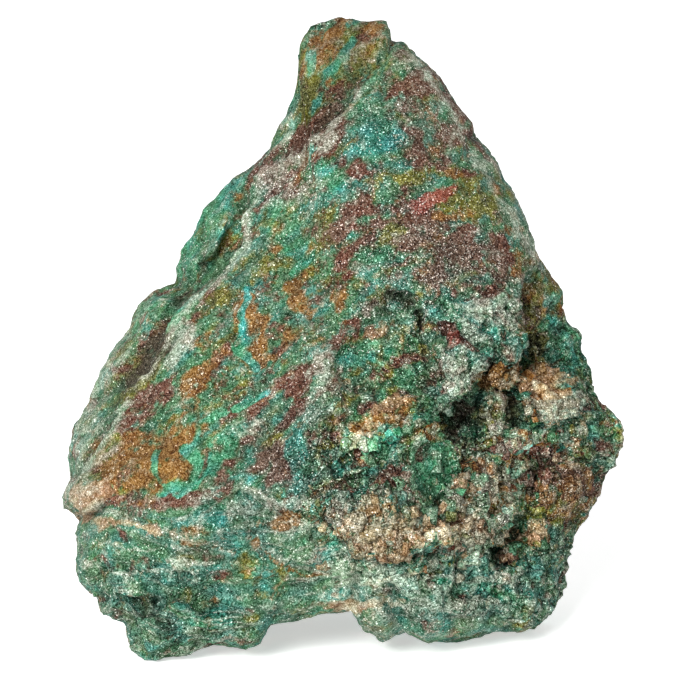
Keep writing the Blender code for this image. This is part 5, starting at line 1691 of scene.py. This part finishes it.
def stone_finish():
    """The finish of the skin and the crumbs, all from the numbers stored on their points."""
    finish, shader = new_finish("african_turquoise")
    places = Wire.node("VectorMath", {"operation": "SCALE"},
                       {0: Wire.node("TexCoord", output=3), "Scale": 1 / MM})
    hollow, loose, rough = attribute("hollow"), attribute("loose"), attribute("rough")
    sugar = attribute("sugar")
    stir = cloud(places, STIR_SIZE, 3, 2.0) - 0.5
    foliation = sheets(stir)

    colour = minerals(stir, loose)
    # Pale dust, which on edges is partly a painted highlight.
    dust_and_highlight = attribute("dust_and_highlight") + stir - hollow * DUST_AND_EDGE_HIGHLIGHT + rough * DUST_ROUGH
    dust_and_highlight = ((dust_and_highlight - 0.5) * (1 / DUST_SOFT) + 0.5).clamp()
    dust_and_highlight = (dust_and_highlight + foliation * DUST_SHEET).clamp()
    colour = paint(colour, DUST_AND_HIGHLIGHT, dust_and_highlight * DUST_SHARE)
    # Painted shade: a dark colour laid into deep places and hollows.
    painted_shade = (attribute("painted_shade") * DEEP_FIELD + hollow * DEEP_HOLLOW - DEEP_FROM).clamp()
    colour = paint(colour, PAINTED_SHADE, painted_shade * DEEP_SHARE)
    # Painted shade in the hollows and a painted highlight on the edges.
    hollow_shade = hollow.maths("MAXIMUM", SHADE_EDGE)
    shade = attribute("shade") + loose * LOOSE_SHADE - hollow_shade * SHADE_HOLLOW
    colour = Wire.node("VectorMath", {"operation": "SCALE"},
                       {0: colour, "Scale": 2.0 ** (shade + SHADE_ALL)})

    loosened = ((rough - LOOSE_FROM) * LOOSE_STEEP).clamp()
    tone, lot, whiteness = cells(places, CELL)
    crowd = stir * SPECK_STIR + sugar * SPECK_SUGAR
    speck = ((lot + crowd - SPECK_CUT) * SPECK_STEEP).clamp()
    speck = speck * (whiteness * (1 - SPECK_LEAST) + SPECK_LEAST)
    pale, dark = (strokes(places, size, 17 + number) for number, size in enumerate(STROKE_SIZES))
    chip, splinter, gap = broken_cells(places, loosened)
    grit = (tone - 0.5) * (sugar * TONE_SUGAR + loosened * TONE_BROKEN + TONE)
    grit += (pale - dark) * (loosened * STROKE_BROKEN + STROKE) + pale * dust_and_highlight * STROKE_DUST
    # The gaps between chips get painted shade.
    grit += speck * SPECK + (chip - 0.5) * loosened * CHIP - gap * GAP_SHADE
    seen = Wire.node("Gamma", {}, {0: colour, 1: 1 / EYE})
    seen = Wire.node("BrightContrast", {}, {0: seen, 1: grit})
    colour = Wire.node("Gamma", {}, {0: seen, 1: EYE})

    relief = cloud(places, BUMP_SIZE, 11, 4.0) * BUMP_CLOUD + tone * BUMP_TONE
    relief = relief + speck * BUMP_SPECK + (pale - dark) * BUMP_STROKE
    chips = (chip * BUMP_CHIP + splinter * BUMP_SPLINTER - gap * BUMP_GAP) * loosened
    relief += foliation * BUMP_SHEET + chips
    normal = Wire.node("Bump", {}, {"Strength": RELIEF_STRENGTH, "Distance": RELIEF,
                                    "Height": relief})
    connect(shader, {"Base Color": colour, "Normal": normal,
                     "Roughness": ROUGHNESS - speck * SPECK_GLOSS,
                     "Specular IOR Level": SPECULAR})
    return finish


skin.materials.append(stone_finish())
crumbs_mesh.materials.append(skin.materials[0])
print(len(Wire.tree.nodes), "nodes in the stone's finish")

# %% [markdown]
# The grains are clear to milky quartz. They need no pattern, only a gloss, and a tint that
# differs from grain to grain.

# %% Milky quartz
QUARTZ_PALE, QUARTZ_MILKY = on_screen(252, 248, 238), on_screen(204, 206, 186)
QUARTZ_ROUGHNESS = 0.32


def grain_finish():
    """Milky quartz: near white, a little warmer or greener from grain to grain."""
    finish, shader = new_finish("milky_quartz")
    colour = paint(QUARTZ_PALE, QUARTZ_MILKY, attribute("milk"))
    connect(shader, {"Base Color": colour, "Roughness": QUARTZ_ROUGHNESS})
    return finish


grains_mesh.materials.append(grain_finish())
print("finishes:", [finish.name for finish in bpy.data.materials])

# %% [markdown]
# ## Floor, light and camera
# The floor is a white sweep: flat under the stone and curved up behind it, so that no horizon
# shows. It glows faintly, as lit paper does, so that it stays white behind a darker stone.

# %% The sweep
FLOOR_HALF = 4.0          # metres
SWEEP_START = 0.35        # how far behind the stone the floor starts to rise
SWEEP_RADIUS = 0.5
SWEEP_WALL = 1.2
PAPER, WHITE = (0.9, 0.9, 0.9, 1.0), (1.0, 1.0, 1.0, 1.0)
PAPER_ROUGHNESS, PAPER_GLOW = 0.9, 0.5


def sweep_profile(v):
    """Along v from 0 to 1: flat floor, then a quarter circle, then a straight wall."""
    flat = FLOOR_HALF + SWEEP_START
    arc = SWEEP_RADIUS * math.pi / 2
    along = v * (flat + arc + SWEEP_WALL)
    turn = np.clip((along - flat) / SWEEP_RADIUS, 0, math.pi / 2)
    y = -FLOOR_HALF + np.minimum(along, flat) + SWEEP_RADIUS * np.sin(turn)
    z = SWEEP_RADIUS * (1 - np.cos(turn)) + np.maximum(along - flat - arc, 0)
    return y, z


def new_sweep():
    """The profile carried straight from left to right: x = u * half width, (y, z) = profile(v)."""
    u, v = np.meshgrid(np.linspace(-1, 1, 9), np.linspace(0, 1, 121), indexing="ij")
    y, z = sweep_profile(v)
    places = np.stack([u * FLOOR_HALF, y, z], axis=-1).reshape(-1, 3) / MM
    number = np.arange(u.size).reshape(u.shape)
    corners = [number[:-1, :-1], number[1:, :-1], number[1:, 1:], number[:-1, 1:]]
    mesh = new_mesh("studio_sweep", places, np.stack(corners, axis=-1).reshape(-1, 4))
    mesh.shade_smooth()
    finish, shader = new_finish("white_paper")
    connect(shader, {"Base Color": PAPER, "Roughness": PAPER_ROUGHNESS,
                     "Emission Color": WHITE, "Emission Strength": PAPER_GLOW})
    mesh.materials.append(finish)
    return new_piece("studio_sweep", mesh)


sweep = new_sweep()
print("the sweep rises", round(float(sweep_profile(np.array([1.0]))[1][0]), 2), "m")

# %% [markdown]
# Relief needs a light from one side. The key is a soft square, high up and a little to the left.
# A weak second one keeps the broken side readable, and the white room fills the rest.

# %% Light the stone
KEY = {"place": (-0.18, -0.46, 0.28), "size": 0.22, "power": 5.4}
RIGHT_FILL = {"place": (0.45, -0.30, 0.20), "size": 0.30, "power": 0.25}
ROOM_LIGHT = 0.30
STONE_MIDDLE = (0.0, 0.0, 0.03)


def soft_light(name, place, size, power):
    """A square area light that faces the stone."""
    lamp = bpy.data.lights.new(name, "AREA")
    lamp.size = size
    lamp.energy = power
    light = bpy.data.objects.new(name, lamp)
    light.location = place
    aim = Vector(STONE_MIDDLE) - Vector(place)
    light.rotation_euler = aim.to_track_quat("-Z", "Y").to_euler()
    bpy.context.scene.collection.objects.link(light)
    return light


world = bpy.data.worlds.new("white_room")
world.use_nodes = True
world.node_tree.nodes["Background"].inputs["Color"].default_value = WHITE
world.node_tree.nodes["Background"].inputs["Strength"].default_value = ROOM_LIGHT
bpy.context.scene.world = world
soft_light("key", **KEY)
soft_light("right_fill", **RIGHT_FILL)
bpy.context.scene.view_settings.view_transform = "Standard"
print("lights:", [light.name for light in bpy.data.lights])

# %% [markdown]
# The camera looks square at the leaning sheet from the point that the taper shrinks to, so
# that a place on the sheet lands where it was measured.

# %% The camera
SHEET_WIDTH = 77.0        # how much of the sheet the frame's width takes in, in millimetres
SENSOR = 36.0
VIEW_UP = 34.1            # the height on the sheet at the frame's middle


def look_at_sheet():
    """A camera at the taper's point whose frame takes in SHEET_WIDTH of the sheet:
    lens = sensor * distance / width."""
    lens = bpy.data.cameras.new("camera")
    lens.sensor_width = SENSOR
    lens.lens = SENSOR * TAPER_MM / SHEET_WIDTH
    camera = bpy.data.objects.new("camera", lens)
    lean = math.radians(LEAN_DEG)
    outward = Vector((0, -math.cos(lean), math.sin(lean)))
    middle = stand(np.zeros(1), np.array([AXIS_UP]), np.zeros(1))[0]
    camera.location = Vector(middle) + outward * TAPER_MM * MM
    camera.rotation_euler = (-outward).to_track_quat("-Z", "Y").to_euler()
    lens.shift_y = (VIEW_UP - AXIS_UP) / SHEET_WIDTH
    bpy.context.scene.collection.objects.link(camera)
    bpy.context.scene.camera = camera
    return camera


camera = look_at_sheet()
print("the camera stands", round(camera.location.length, 3), "m from the stone")

# %% [markdown]
